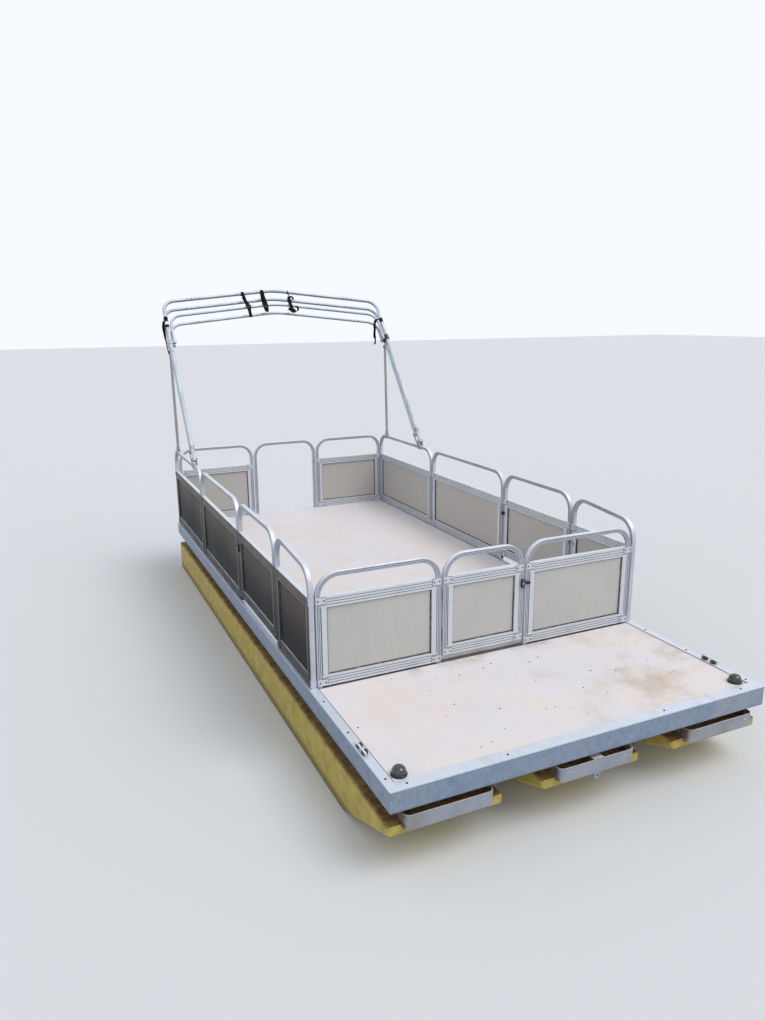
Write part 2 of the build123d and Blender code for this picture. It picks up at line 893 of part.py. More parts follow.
# Tie straps: a band around the main bow's crown, with a tail and a buckle ahead of the other bows
def tie_strap(x):
    crown = main_shoulder + crown_rise * (1 - abs(x) / leg_x)
    inner = main_tube + strap_gap
    outer = inner + strap_thickness
    half = strap_width / 2
    slope = math.copysign(math.degrees(math.atan2(crown_rise, leg_x)), -x)
    on_crown = Pos(x, crown, 0) * Rot(0, 0, slope)
    band = on_crown * rod((-half, 0, 0), (half, 0, 0), outer)
    band += block(
        (x - half, x + half),
        (crown - strap_length, crown),
        (inner, outer),
    )
    band += block(
        (x - buckle_width / 2, x + buckle_width / 2),
        (crown - strap_length, crown - strap_length + buckle_height),
        (inner, inner + buckle_thickness),
    )
    core = rod((-strap_width, 0, 0), (strap_width, 0, 0), inner)
    return main_plane.location * (band - on_crown * core)


save("top_straps", *[tie_strap(x) for x in strap_x])


# Motor transom: a plate aft of the deck on a welded box under the last crossbeams
def motor_transom():
    half = transom_width / 2
    front = stern_y - transom_forward
    face = stern_y + transom_aft
    roof = beam_bottom
    plate = block((-half, half), (face, face + transom_thickness), (transom_bottom, transom_top))
    plate = fillet(plate.edges().filter_by(Axis.Y), float_edge_radius)
    shape = plate
    back = stern_y - fascia_thickness - beam_end_gap
    step = fascia_bottom - beam_end_gap
    shape += block((-half, half), (front, back), (roof - transom_wall, roof))
    for side in (-1, 1):
        cheek = Polyline(
            (front, roof),
            (back, roof),
            (back, step),
            (face, step),
            (face, transom_bottom + float_edge_radius),
            (front, transom_bottom + transom_forward / 2),
            close=True,
        )
        outline = make_face(cheek)
        inner = side * (half - float_edge_radius)
        plate_plane = Plane.YZ.offset(inner)
        shape += extrude(plate_plane * outline, amount=-side * transom_wall)
    return shape


save("motor_transom", motor_transom())
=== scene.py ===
# %% [markdown]
# # A small pontoon boat
# The boat comes in as a fixed model of its metal, floats and deck. This notebook stands it on
# a pale floor at its waterline, gives each part a finish, and adds the screws, the straps and
# the small fittings.

# %% Load the boat
import json
import math

import bmesh
import bpy
from mathutils import Matrix, Vector

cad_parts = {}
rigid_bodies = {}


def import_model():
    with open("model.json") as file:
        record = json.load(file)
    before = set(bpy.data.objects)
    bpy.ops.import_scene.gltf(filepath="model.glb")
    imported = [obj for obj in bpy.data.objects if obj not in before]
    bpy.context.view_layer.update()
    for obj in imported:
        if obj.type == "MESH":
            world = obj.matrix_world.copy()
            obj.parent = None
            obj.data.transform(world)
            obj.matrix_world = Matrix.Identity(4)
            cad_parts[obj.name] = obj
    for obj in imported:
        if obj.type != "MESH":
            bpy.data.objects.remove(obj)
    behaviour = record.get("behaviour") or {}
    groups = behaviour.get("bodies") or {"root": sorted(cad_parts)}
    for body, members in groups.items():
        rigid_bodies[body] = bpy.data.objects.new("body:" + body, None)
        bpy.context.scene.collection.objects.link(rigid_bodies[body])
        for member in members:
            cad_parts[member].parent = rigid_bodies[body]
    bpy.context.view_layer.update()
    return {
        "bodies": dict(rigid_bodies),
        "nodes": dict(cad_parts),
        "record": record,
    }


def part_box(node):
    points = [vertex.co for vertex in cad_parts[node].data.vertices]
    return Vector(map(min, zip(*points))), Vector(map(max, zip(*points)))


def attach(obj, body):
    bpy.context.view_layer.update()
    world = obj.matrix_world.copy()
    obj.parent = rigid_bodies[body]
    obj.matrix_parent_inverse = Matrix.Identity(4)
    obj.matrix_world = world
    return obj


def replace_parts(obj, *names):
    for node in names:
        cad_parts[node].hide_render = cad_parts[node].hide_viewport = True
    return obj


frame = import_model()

bodies = sorted(frame["bodies"])
nodes = frame["nodes"]
print(len(nodes), "parts on", len(bodies), "bodies:", ", ".join(bodies))

# %% [markdown]
# ## The sizes that the fittings follow
# Screws and straps sit on things that are already there, so their places come from a few
# sizes of the boat, in metres. X points to port, Y to the stern and Z up. A panel's rails are
# measured from the deck, and the fence's walls by the middle of their thickness. All of them
# could be measured from the model, but a short list with names is easier to follow.

# %% Sizes of the boat
DECK = 0.460
FLANGE = DECK + 0.003
BOW = -2.187
STERN = 2.187
TUBE = 0.0127
WATER = 0.070
FENCE_X = 0.9663
BOW_FENCE = -1.2713
STERN_FENCE = 2.1633
rail_top = 0.462
rail_height = 0.054
print("deck", DECK, "m above the keel and", round(DECK - WATER, 3), "m above the floor")

# %% [markdown]
# ## The camera
# The camera stands off the starboard bow, as high as a person's eye above the deck. It could
# be aimed with a constraint, but an eye and three turns can be changed one at a time until the
# picture fits. The lens is a focal length in pixels, which is turned into millimetres for a
# 36 mm sensor along the picture's long side of 1020 pixels.

# %% Camera
eye = Vector((-2.054, -4.478, 2.193))
pan, tilt, roll = 0.4278, 0.2469, -0.0093
focal_pixels = 766.69
long_side = 1020
sensor = 36.0

ahead = Vector((math.sin(pan) * math.cos(tilt), math.cos(pan) * math.cos(tilt), -math.sin(tilt)))
level = Vector((math.cos(pan), -math.sin(pan), 0))
above = level.cross(ahead)
across = level * math.cos(roll) + above * math.sin(roll)
upward = above * math.cos(roll) - level * math.sin(roll)
pose = Matrix((across, upward, -ahead)).transposed().to_4x4()
pose.translation = eye

camera_data = bpy.data.cameras.new("bow_camera")
camera_data.sensor_width = sensor
camera_data.lens = focal_pixels / long_side * sensor
camera_data.clip_end = 500
camera = bpy.data.objects.new("bow_camera", camera_data)
camera.matrix_world = pose
bpy.context.collection.objects.link(camera)
bpy.context.scene.camera = camera
print("lens", round(camera_data.lens, 2), "mm, eye", [round(v, 2) for v in eye])

# %% [markdown]
# ## One way to write a material
# A material is a small sum: noise times this, plus that. Written node by node it is hard to
# read, so one class wraps an output and turns Python's own arithmetic into Math nodes. A second
# class holds a node tree and makes every other node from its type, its settings and its inputs.
# A finish is such a tree with a material round it, and with the few patterns that all share.


# %% Arithmetic on node outputs
class Amount:
    def __init__(self, nodes, socket):
        self.nodes = nodes
        self.socket = socket

    def sum(self, operation, first, second):
        settings = {"operation": operation}
        return self.nodes.add("ShaderNodeMath", settings, {0: first, 1: second})

    def __add__(self, other):
        return self.sum("ADD", self, other)

    __radd__ = __add__

    def __sub__(self, other):
        return self.sum("SUBTRACT", self, other)

    def __rsub__(self, other):
        return self.sum("SUBTRACT", other, self)

    def __mul__(self, other):
        return self.sum("MULTIPLY", self, other)

    __rmul__ = __mul__

    def most(self, other):
        return self.sum("MAXIMUM", self, other)

    def size(self):
        return self.sum("ABSOLUTE", self, 0)

    def wave(self, length):
        return self.sum("SINE", self * (2 * math.pi / length), 0)


# %% A node tree
class Nodes:
    def __init__(self, tree):
        self.tree = tree

    def add(self, kind, settings, values, output=0):
        node = self.tree.nodes.new(kind)
        for key, value in settings.items():
            setattr(node, key, value)
        for key, value in values.items():
            self.link(node.inputs[key], value)
        return Amount(self, node.outputs[output])

    def link(self, socket, value):
        if isinstance(value, Amount):
            self.tree.links.new(value.socket, socket)
        elif isinstance(value, tuple) and socket.type == "RGBA":
            socket.default_value = (*value, 1)
        else:
            socket.default_value = value


# %% A material and its patterns
class Finish(Nodes):
    def __init__(self, name):
        self.material = bpy.data.materials.new(name)
        self.material.use_nodes = True
        super().__init__(self.material.node_tree)
        self.shader = self.tree.nodes["Principled BSDF"]
        self.place = self.add("ShaderNodeTexCoord", {}, {}, "Object")
        self.x, self.y, self.z = (
            self.add("ShaderNodeSeparateXYZ", {}, {0: self.place}, axis) for axis in "XYZ"
        )

    def tell(self):
        print(self.material.name, "has", len(self.tree.nodes), "nodes")

    def set(self, **values):
        for key, value in values.items():
            self.link(self.shader.inputs[key.replace("_", " ").title()], value)

    def stretched(self, scale):
        return self.add("ShaderNodeMapping", {}, {"Vector": self.place, "Scale": scale})

    def noise(self, size, detail=3.0, rough=0.5, scale=(1, 1, 1)):
        values = {"Vector": self.stretched(scale), "Scale": 1 / size, "Detail": detail}
        values["Roughness"] = rough
        return self.add("ShaderNodeTexNoise", {}, values)

    def cells(self, size):
        return self.add("ShaderNodeTexVoronoi", {}, {"Vector": self.place, "Scale": 1 / size})

    def ramp(self, value, low, high):
        values = {"Value": value, "From Min": low, "From Max": high}
        settings = {"interpolation_type": "SMOOTHSTEP"}
        return self.add("ShaderNodeMapRange", settings, values)

    # darkens hollows and places beside other parts: painted shade with some dirt
    def hollow(self, reach, alone=True):
        settings = {"samples": 4, "only_local": alone}
        open_share = self.add("ShaderNodeAmbientOcclusion", settings, {"Distance": reach}, 1)
        return self.ramp(open_share, 0.95, 0.70)

    def facing_up(self, low, high):
        normal = self.add("ShaderNodeTexCoord", {}, {}, "Normal")
        return self.ramp(self.add("ShaderNodeSeparateXYZ", {}, {0: normal}, "Z"), low, high)

    def mix(self, share, first, second):
        return self.add("ShaderNodeMix", {"data_type": "RGBA"}, {0: share, 6: first, 7: second}, 2)

    def bump(self, height, depth, strength=1.0):
        values = {"Height": height, "Distance": depth, "Strength": strength}
        self.set(normal=self.add("ShaderNodeBump", {}, values))


# %% Colours as light
def tint(red, green, blue):
    """A colour as a screen shows it, 0 to 255, as the light values that a shader takes."""
    shares = [value / 255 for value in (red, green, blue)]
    return tuple(s / 12.92 if s <= 0.04045 else ((s + 0.055) / 1.055) ** 2.4 for s in shares)


print("paper white is", [round(v, 2) for v in tint(230, 230, 230)])

# %% [markdown]
# ## The floor and the light
# The floor lies at the waterline, so the boat stands in it as deep as it floats. It is plain
# and pale, and the air above it is white to the camera, to gloss and to glass. An even sky and
# two soft suns light the boat as a hazy day does, at a level where a colour keeps its value.

# %% Floor
def as_object(name, mesh, finish):
    data = bpy.data.meshes.new(name)
    mesh.to_mesh(data)
    mesh.free()
    data.materials.append(finish.material)
    thing = bpy.data.objects.new(name, data)
    bpy.context.collection.objects.link(thing)
    return thing


floor_mesh = bmesh.new()
bmesh.ops.create_grid(floor_mesh, x_segments=1, y_segments=1, size=60)
bmesh.ops.translate(floor_mesh, verts=floor_mesh.verts, vec=(0, 0, WATER))
floor_finish = Finish("floor_paper")
floor_finish.set(base_color=tint(226, 228, 231), roughness=0.9)
as_object("floor", floor_mesh, floor_finish)
print("floor", WATER, "m above the keel")

# %% Sky and suns
world = bpy.data.worlds.new("even_sky")
world.use_nodes = True
bpy.context.scene.world = world
air = Nodes(world.node_tree)
seen = air.add("ShaderNodeLightPath", {}, {}, "Is Camera Ray")
for ray in ("Is Transmission Ray", "Is Glossy Ray"):
    seen = seen.most(air.add("ShaderNodeLightPath", {}, {}, ray))
SKY_LIGHT, SKY_SEEN = 0.55, 1.0
steps = {"Value": seen, "To Min": SKY_LIGHT, "To Max": SKY_SEEN}
sky = air.tree.nodes["Background"]
air.link(sky.inputs["Color"], (0.93, 0.96, 1.0))
air.link(sky.inputs["Strength"], air.add("ShaderNodeMapRange", {}, steps))


def sun(name, direction, power, spread):
    data = bpy.data.lights.new(name, "SUN")
    data.energy = power
    data.angle = math.radians(spread)
    holder = bpy.data.objects.new(name, data)
    holder.matrix_world = Vector(direction).to_track_quat("Z", "Y").to_matrix().to_4x4()
    bpy.context.collection.objects.link(holder)


sun("high_sun", (0.45, -0.50, 1.0), 1.35, 40)
sun("low_sun", (-0.9, -1.0, 0.55), 0.35, 60)
print("sky strength", SKY_LIGHT)

# %% [markdown]
# ## Aluminium
# Everything bright on the boat is mill-finish aluminium that has stood outdoors: soft
# reflections, a faint grain along the extrusion, and a dull bloom that comes and goes. The
# upward faces get a painted highlight and the undersides a painted shade. The flutes and seams
# are darkened as painted shade with some dirt. The surface's own normal tells up from down, and
# an ambient occlusion node finds the hollows. The fence's outer side faces, from the deck to the
# top rail, get a painted dark reflection and shade, like the sheets between them. A plain smooth
# grey would look like new chrome.
# One function makes all the metals, so that they age alike and differ only in tone.

# %% Weathered aluminium
# the heights between which the painted dark reflection on the outer faces deepens
DARKENS = DECK + 0.41, DECK + 0.12


def aluminium(name, tone, dull, grain, roughness=0.42, metal=0.60, under=0.45, sides=0.0):
    """under: painted shade on the undersides; sides: painted dark reflection on the outer faces.
    """
    finish = Finish(name)
    bloom = finish.ramp(finish.noise(0.16, 5.0, 0.65), 0.38, 0.68)
    streak = finish.noise(0.004, 3.0, 0.5, grain)
    pits = finish.ramp(finish.noise(0.012, 2.0, 0.6), 0.62, 0.74)
    colour = finish.mix(bloom * 0.50, tone, dull)
    # painted highlight: the upward faces are lighter
    colour = finish.mix(finish.facing_up(0.45, 0.95) * 0.55, colour, tint(240, 243, 248))
    # painted shade: the undersides are darker
    colour = finish.mix(finish.facing_up(0.15, -0.45) * under, colour, tint(104, 118, 132))
    colour = finish.mix(pits * 0.30, colour, tint(124, 126, 130))
    outer = finish.ramp(finish.x.size(), FENCE_X - 0.0085, FENCE_X - 0.0070)
    outer = outer * finish.ramp(finish.y, BOW_FENCE - 0.004, BOW_FENCE + 0.001)
    below_rail = finish.ramp(finish.z, DECK + rail_top + 0.001, DECK + rail_top - 0.002)
    below_rail = below_rail * (1 - finish.facing_up(0.80, 0.95))
    above_deck = finish.ramp(finish.z, FLANGE + 0.001, FLANGE + 0.003)
    lower = finish.ramp(finish.z, *DARKENS)
    # painted dark reflection and shade on the outer side faces, darker toward the bottom
    metal_dark_reflection = finish.mix(lower, tint(84, 77, 71), tint(14, 15, 20))
    metal_dark_reflection_share = outer * below_rail * above_deck * sides
    colour = finish.mix(metal_dark_reflection_share, colour, metal_dark_reflection)
    # painted shade with some dirt: flutes, seams and hollows darkened from ambient occlusion
    seam = finish.hollow(0.005)
    colour = finish.mix(seam * 0.93, colour, tint(26, 27, 32))
    matt = (1 - 0.8 * seam) * (1 - 0.9 * metal_dark_reflection_share)
    finish.set(base_color=colour, metallic=(metal - 0.25 * bloom) * matt)
    finish.set(roughness=roughness + 0.16 * bloom + 0.10 * (streak - 0.5) + 0.2 * seam)
    finish.bump(streak, 0.0002, 0.5)
    return finish


# %% The boat's metals
# how the grain is stretched along x, y and z
even, upright, flattened, crosswise = (1, 1, 1), (0.2, 0.2, 1), (1, 1, 0.3), (1, 0.2, 1)
tube = aluminium("tube_aluminium", tint(202, 207, 217), tint(172, 179, 190), even, sides=0.95)
rail = aluminium(
    "frame_aluminium", tint(222, 225, 232), tint(196, 202, 211), upright, sides=0.95
)
top_tube = aluminium(
    "top_aluminium", tint(196, 205, 216), tint(168, 179, 192), even, metal=0.30, under=0.95
)
strut_metal = aluminium(
    "strut_aluminium", tint(158, 160, 163), tint(128, 126, 122), even, metal=0.25, under=0.6
)
loop_bar = aluminium(
    "loop_aluminium", tint(166, 173, 183), tint(130, 139, 152), flattened, roughness=0.48
)
hinge_metal = aluminium("hinge_steel", tint(176, 179, 182), tint(142, 145, 148), flattened)
hidden_metal = aluminium(
    "beam_aluminium", tint(150, 153, 156), tint(120, 122, 124), crosswise, roughness=0.55
)
metals = (tube, rail, top_tube, strut_metal, loop_bar, hinge_metal, hidden_metal)
print("metal finishes:", ", ".join(metal.material.name for metal in metals))

# %% [markdown]
# ## Stains and a painted highlight on the bow loops
# Years of use have marked the loops: a brown film toward the outer ends and on the port half
# of the middle loop, and rust behind. Their upward top rims get a painted highlight. Instead of
# a painted map, the place across the boat picks them.

# %% Loop stains and a painted highlight
plain_metal = loop_bar.shader.inputs["Base Color"].links[0].from_socket
film = loop_bar.ramp(loop_bar.noise(0.05, 4.0, 0.7), 0.38, 0.62)
outer_end = loop_bar.ramp(loop_bar.x.size(), 0.80, 0.92)
port_half = loop_bar.ramp(loop_bar.x, 0.02, 0.18)
marked = film * outer_end.most(port_half * 0.5)
stains_and_highlight = loop_bar.mix(marked * 0.6, Amount(loop_bar, plain_metal), tint(150, 126, 92))
behind = loop_bar.ramp(loop_bar.y, BOW - 0.002, BOW + 0.010)
stains_and_highlight = loop_bar.mix(behind * (0.35 + 0.6 * film), stains_and_highlight, tint(104, 78, 58))
# painted highlight: the upward top rims are lighter
top_highlight = loop_bar.facing_up(0.55, 0.90) * (1 - marked)
stains_and_highlight = loop_bar.mix(top_highlight * 0.75, stains_and_highlight, tint(236, 238, 242))
loop_bar.set(base_color=stains_and_highlight)
loop_bar.tell()

# %% [markdown]
# ## The edge of the deck
# The extrusion round the deck is the same metal. The face below the deck is coloured slate
# blue, a painted shade, with fine upright runs and dark specks. The flange on top is coloured
# brighter, a painted light. Height above the keel tells the two apart.

# %% Deck edge
edge = Finish("edge_aluminium")
top_face = edge.ramp(edge.z, DECK - 0.004, DECK + 0.001)
runs = edge.noise(0.009, 4.0, 0.6, (1, 1, 0.30))
blotch = edge.ramp(edge.noise(0.035, 5.0, 0.7), 0.42, 0.66)
cloudy = edge.ramp(edge.noise(0.30, 3.0, 0.5), 0.35, 0.65)
specks = edge.ramp(edge.cells(0.022), 0.11, 0.05)
some = edge.ramp(edge.noise(0.10, 2.0), 0.50, 0.60)
# painted shade: the face below the deck is slate blue, with real runs, blotches and specks
face = edge.mix(edge.ramp(runs, 0.34, 0.70) * 0.60, tint(128, 144, 167), tint(156, 171, 192))
to_port = edge.ramp(edge.x, -0.2, 0.95)
face = edge.mix(cloudy * (0.25 + 0.5 * to_port), face, tint(158, 164, 172))
face = edge.mix(blotch * 0.38, face, tint(114, 129, 150))
face = edge.mix(specks * some * 0.8, face, tint(66, 68, 74))
lip = edge.ramp(edge.z, DECK - 0.086, DECK - 0.090)
face = edge.mix(lip * 0.5, face, tint(84, 88, 96))
# painted light: the flange on top is brighter, with real blotches and specks
flange = edge.mix(blotch * 0.30, tint(222, 229, 241), tint(198, 206, 219))
flange = edge.mix(specks * some * 0.4, flange, tint(112, 106, 100))
stern_streak = edge.ramp(edge.noise(0.08, 4.0, 0.7, (1, 0.2, 1)), 0.52, 0.70)
flange = edge.mix(stern_streak * 0.25, flange, tint(160, 158, 156))
edge.set(base_color=edge.mix(top_face, face, flange))
edge.set(metallic=0.40 + 0.1 * top_face, roughness=0.50 - 0.08 * top_face + 0.1 * blotch)
edge.bump(runs, 0.0003, 0.5)
edge.tell()

# %% [markdown]
# ## The deck
# The deck is plywood under a rolled-on coat that has gone warm and blotchy. Up close it has a
# fine roller texture; further off it shows brown stains toward the port bow and along the foot
# of the bow fence, a painted shadow in a narrow strip under the bow fence, small dark specks,
# and dirt in the seam beside the edge flange. Each of them is a mask, and they are mixed one
# over the other, so that any can be weakened by itself.

# %% Deck coat
SHEET_EDGE = 0.9455
SHEET_BOW = BOW + 0.0585
deck = Finish("deck_coat")
cloud = deck.noise(0.45, 5.0, 0.6)
cool = deck.ramp(cloud, 0.36, 0.60)
coat_and_shadow = deck.mix(cool, tint(238, 229, 227), tint(234, 230, 234))
warm = deck.ramp(deck.noise(0.34, 7.0, 0.66), 0.44, 0.66)
bow_part = deck.ramp(deck.y, -1.10, -1.75)
port_part = deck.ramp(deck.x, -0.25, 0.75)
stained = warm * (0.10 + 0.62 * bow_part * port_part)
coat_and_shadow = deck.mix(stained, coat_and_shadow, tint(198, 178, 152))
foot_line = deck.ramp((deck.y - BOW_FENCE).size(), 0.13, 0.01)
grime = deck.ramp(deck.noise(0.16, 5.0, 0.7), 0.42, 0.66)
below_gate = deck.ramp(deck.x.size(), 0.75, 0.20)
coat_and_shadow = deck.mix(foot_line * grime * (0.15 + 0.45 * below_gate), coat_and_shadow, tint(164, 146, 126))
# painted shadow: a dark strip on the deck under the bow fence
fence_shadow = deck.ramp((deck.y - BOW_FENCE).size(), 0.019, 0.015)
coat_and_shadow = deck.mix(fence_shadow * 0.90, coat_and_shadow, tint(36, 34, 34))
dots = deck.ramp(deck.cells(0.055), 0.085, 0.055)
dots = dots * deck.ramp(deck.noise(0.11, 3.0, 0.6), 0.52, 0.56)
coat_and_shadow = deck.mix(dots * 0.95, coat_and_shadow, tint(72, 56, 50))
fine = deck.ramp(deck.noise(0.006, 3.0, 0.7), 0.64, 0.72)
coat_and_shadow = deck.mix(fine * (0.12 + 0.35 * bow_part), coat_and_shadow, tint(142, 122, 112))
side_seam = deck.ramp((deck.x.size() - SHEET_EDGE).size(), 0.0040, 0.0012)
bow_seam = deck.ramp((deck.y - SHEET_BOW).size(), 0.0040, 0.0012)
coat_and_shadow = deck.mix(side_seam.most(bow_seam * 0.40) * 0.90, coat_and_shadow, tint(44, 40, 40))
roller = deck.noise(0.0035, 2.0, 0.5)
deck.set(base_color=coat_and_shadow, roughness=0.62 + 0.15 * warm)
deck.bump(roller, 0.0005, 0.5)
deck.tell()

# %% [markdown]
# ## The fence skins
# Thin sheet with a factory grey paint. It carries very faint upright streaks where rain has run
# down, dark specks under the top rail, and dirt with painted shade where it meets its frame. The
# outer faces along both sides get a painted dark reflection and shade in brown-grey, darker
# toward the bottom. They lie in a plane of their own, so the distance from the middle of the
# boat picks them out.

# %% Painted sheet
skin = Finish("skin_sheet")
streaks = skin.noise(0.020, 4.0, 0.6, (1, 1, 0.10))
tone = skin.ramp(skin.noise(0.60, 3.0), 0.35, 0.65)
paint_and_shade = skin.mix(tone, tint(194, 193, 189), tint(188, 188, 186))
paint_and_shade = skin.mix(skin.ramp(streaks, 0.42, 0.70) * 0.14, paint_and_shade, tint(174, 174, 170))
clouds = skin.ramp(skin.noise(0.09, 4.0, 0.6), 0.35, 0.65)
paint_and_shade = skin.mix(clouds * 0.20, paint_and_shade, tint(200, 197, 184))
far_side = skin.ramp(skin.y, -1.0, -0.4)
paint_and_shade = skin.mix(far_side * 0.55, paint_and_shade, tint(186, 181, 176))
under_rail = skin.ramp(skin.z, DECK + 0.378, DECK + 0.404)
spots = skin.ramp(skin.cells(0.011), 0.30, 0.14) * skin.ramp(skin.noise(0.05, 2.0), 0.50, 0.57)
paint_and_shade = skin.mix(under_rail * spots * 0.95, paint_and_shade, tint(40, 38, 36))
scatter = skin.ramp(skin.cells(0.030), 0.085, 0.04)
scatter = scatter * skin.ramp(skin.noise(0.12, 2.0), 0.56, 0.64)
paint_and_shade = skin.mix(scatter * 0.55, paint_and_shade, tint(92, 88, 82))
low_dirt = skin.ramp(skin.z, DECK + 0.19, DECK + 0.065) * skin.ramp(streaks, 0.35, 0.7)
paint_and_shade = skin.mix(low_dirt * 0.10, paint_and_shade, tint(146, 142, 130))
# painted shade with some dirt: darker where the skin meets its frame, from ambient occlusion
paint_and_shade = skin.mix(skin.hollow(0.010, alone=False) * 0.45, paint_and_shade, tint(70, 70, 72))
# painted dark reflection and shade on the outer faces, darker toward the bottom
outer_side = skin.ramp(skin.x.size(), FENCE_X - 0.0004, FENCE_X + 0.0008)
skin_dark_reflection_top = skin.mix(skin.ramp(streaks, 0.35, 0.70), tint(86, 78, 72), tint(74, 68, 64))
skin_dark_reflection = skin.mix(skin.ramp(skin.z, *DARKENS), skin_dark_reflection_top, tint(9, 10, 15))
paint_and_shade = skin.mix(outer_side, paint_and_shade, skin_dark_reflection)
skin.set(base_color=paint_and_shade, roughness=0.44 + 0.12 * tone + 0.22 * outer_side, metallic=0.10)
skin.bump(clouds, 0.0006, 0.3)
skin.tell()

# %% [markdown]
# ## Floats
# The floats are mustard plastic. Their tops and the noses under the deck have gone brown with
# rust and silt, and a dark tide mark runs just above the waterline. The surface's normal finds
# the tops and height finds the tide mark, so nothing has to be painted by hand.

# %% Float shell
shell = Finish("float_shell")
mottle = shell.noise(0.09, 5.0, 0.65)
scuffs = shell.ramp(shell.noise(0.02, 4.0, 0.7, (1, 0.15, 1)), 0.55, 0.70)
yellow = shell.mix(shell.ramp(mottle, 0.35, 0.7), tint(188, 171, 88), tint(166, 144, 68))
yellow = shell.mix(scuffs * 0.40, yellow, tint(216, 206, 150))
rust = shell.ramp(shell.noise(0.05, 5.0, 0.75), 0.40, 0.62)
top_side = shell.facing_up(0.35, 0.90).most(shell.ramp(shell.z, 0.262, 0.286) * rust * 0.5)
yellow = shell.mix(top_side * (0.60 + 0.40 * rust), yellow, tint(108, 74, 46))
tide = shell.ramp(shell.z + 0.03 * mottle, 0.150, 0.105)
yellow = shell.mix(tide * 0.7, yellow, tint(84, 76, 52))
shell.set(base_color=yellow, roughness=0.55 + 0.2 * rust)
shell.bump(mottle, 0.002, 0.4)
shell.tell()

# %% [markdown]
# ## Plastic, glass and webbing
# The small fittings are black plastic with a slight grain. The lamp domes are clear coloured
# plastic. A glass shader would show that they are empty, so they are a deep colour with a hard
# gloss on top, and the rings moulded on their inside show as ridges. The webbing has a weave
# that follows each strap, so it reads the strap's own UV map, in which one unit is one metre.

# %% Black fittings
black = Finish("black_fitting")
grain = black.noise(0.002, 2.0)
worn = black.ramp(black.noise(0.03, 4.0, 0.7), 0.55, 0.72)
black.set(base_color=black.mix(worn, tint(28, 28, 32), tint(58, 58, 62)))
black.set(roughness=0.42 + 0.2 * worn)
black.bump(grain, 0.0003, 0.5)
black.tell()


# %% Lamp glass
def lens(name, deep, bright):
    finish = Finish(name)
    low_ring = finish.ramp(finish.z, DECK + 0.020, DECK + 0.009)
    swirl = finish.ramp(finish.noise(0.02, 2.0), 0.4, 0.7)
    colour = finish.mix(swirl * 0.4, deep, bright)
    finish.set(base_color=finish.mix(low_ring * 0.6, colour, tint(70, 78, 92)))
    finish.set(roughness=0.10 + 0.15 * low_ring, coat_weight=0.9 - 0.4 * low_ring)
    finish.bump(finish.z.wave(0.0052), 0.0004, 0.5)
    finish.tell()
    return finish


red_glass = lens("red_lens", tint(16, 5, 14), tint(44, 14, 30))
green_glass = lens("green_lens", tint(5, 30, 38), tint(16, 60, 66))

# %% Webbing
webbing = Finish("strap_webbing")
strap_uv = webbing.add("ShaderNodeUVMap", {"uv_map": "strap"}, {})
across_strap = webbing.add("ShaderNodeSeparateXYZ", {}, {0: strap_uv}, "X")
along_strap = webbing.add("ShaderNodeSeparateXYZ", {}, {0: strap_uv}, "Y")
weave = across_strap.wave(0.0030) * 0.5 + along_strap.wave(0.0024) * 0.5
fuzz = webbing.ramp(webbing.noise(0.02, 4.0, 0.7), 0.45, 0.70)
threads = webbing.mix(webbing.ramp(weave, -0.6, 0.8), tint(8, 8, 11), tint(24, 24, 28))
webbing.set(base_color=webbing.mix(fuzz * 0.3, threads, tint(44, 44, 47)))
webbing.set(roughness=0.85)
webbing.link(webbing.shader.inputs["Specular IOR Level"], 0.15)
webbing.bump(weave, 0.0005, 0.7)
webbing.tell()

# %% [markdown]
# The slides on the sun top's legs are black plastic to port, and bare metal to starboard,
# where their covers are gone. One finish serves both: the side of the boat picks its colour.

# %% Slides
slide_metal = Finish("slide_fitting")
covered = slide_metal.ramp(slide_metal.x, -0.01, 0.01)
scuff = slide_metal.ramp(slide_metal.noise(0.02, 3.0, 0.6), 0.5, 0.7)
slide_tone = slide_metal.mix(covered, tint(196, 202, 210), tint(24, 24, 28))
slide_metal.set(base_color=slide_metal.mix(scuff * 0.3, slide_tone, tint(110, 112, 116)))
slide_metal.set(roughness=0.45 + 0.2 * scuff, metallic=0.4 * (1 - covered))
slide_metal.bump(scuff, 0.0003, 0.4)
slide_metal.tell()

# %% [markdown]
# Every part of the model names the slot of its material. A few parts look different from the
# rest of their slot, so those have a finish of their own.

# %% Finishes by slot
slot_finishes = {
    "tube_aluminium": tube, "frame_aluminium": rail, "top_tube": top_tube,
    "loop_bar": loop_bar, "hinge_metal": hinge_metal, "under_frame": hidden_metal,
    "edge_aluminium": edge, "deck_coat": deck, "skin_sheet": skin, "float_shell": shell,
    "black_fitting": black, "red_lens": red_glass, "green_lens": green_glass,
    "strap_webbing": webbing,
}
own_finishes = {
    "struts": strut_metal, "strut_sockets": strut_metal, "main_bow_slides": slide_metal,
    "aft_bow_slides": slide_metal,
}
for part in frame["record"]["subparts"]:
    node = nodes[part["node"]]
    finish = own_finishes.get(part["node"], slot_finishes[part["material_slot"]])
    node.data.materials.clear()
    node.data.materials.append(finish.material)

# %% [markdown]
# ## A place for each new piece
# A new piece is built in its own bmesh, where it belongs on the boat. Pegs and rounded edges
# come back in many of them. One helper pours a small bmesh into a larger one, turned to its
# place. Another turns a bmesh into an object, gives it its finish, and ties it to the body
# that it moves with.


# %% Pegs and rounded edges
def peg(radius, top_radius, length, sides):
    mesh = bmesh.new()
    bmesh.ops.create_cone(
        mesh, cap_ends=True, segments=sides, radius1=radius, radius2=top_radius, depth=length
    )
    bmesh.ops.translate(mesh, verts=mesh.verts, vec=(0, 0, length / 2))
    return mesh


def rounded(mesh, edges, offset, segments=2):
    bmesh.ops.bevel(
        mesh, geom=edges, offset=offset, segments=segments, profile=0.5, affect="EDGES",
        material=-1,
    )


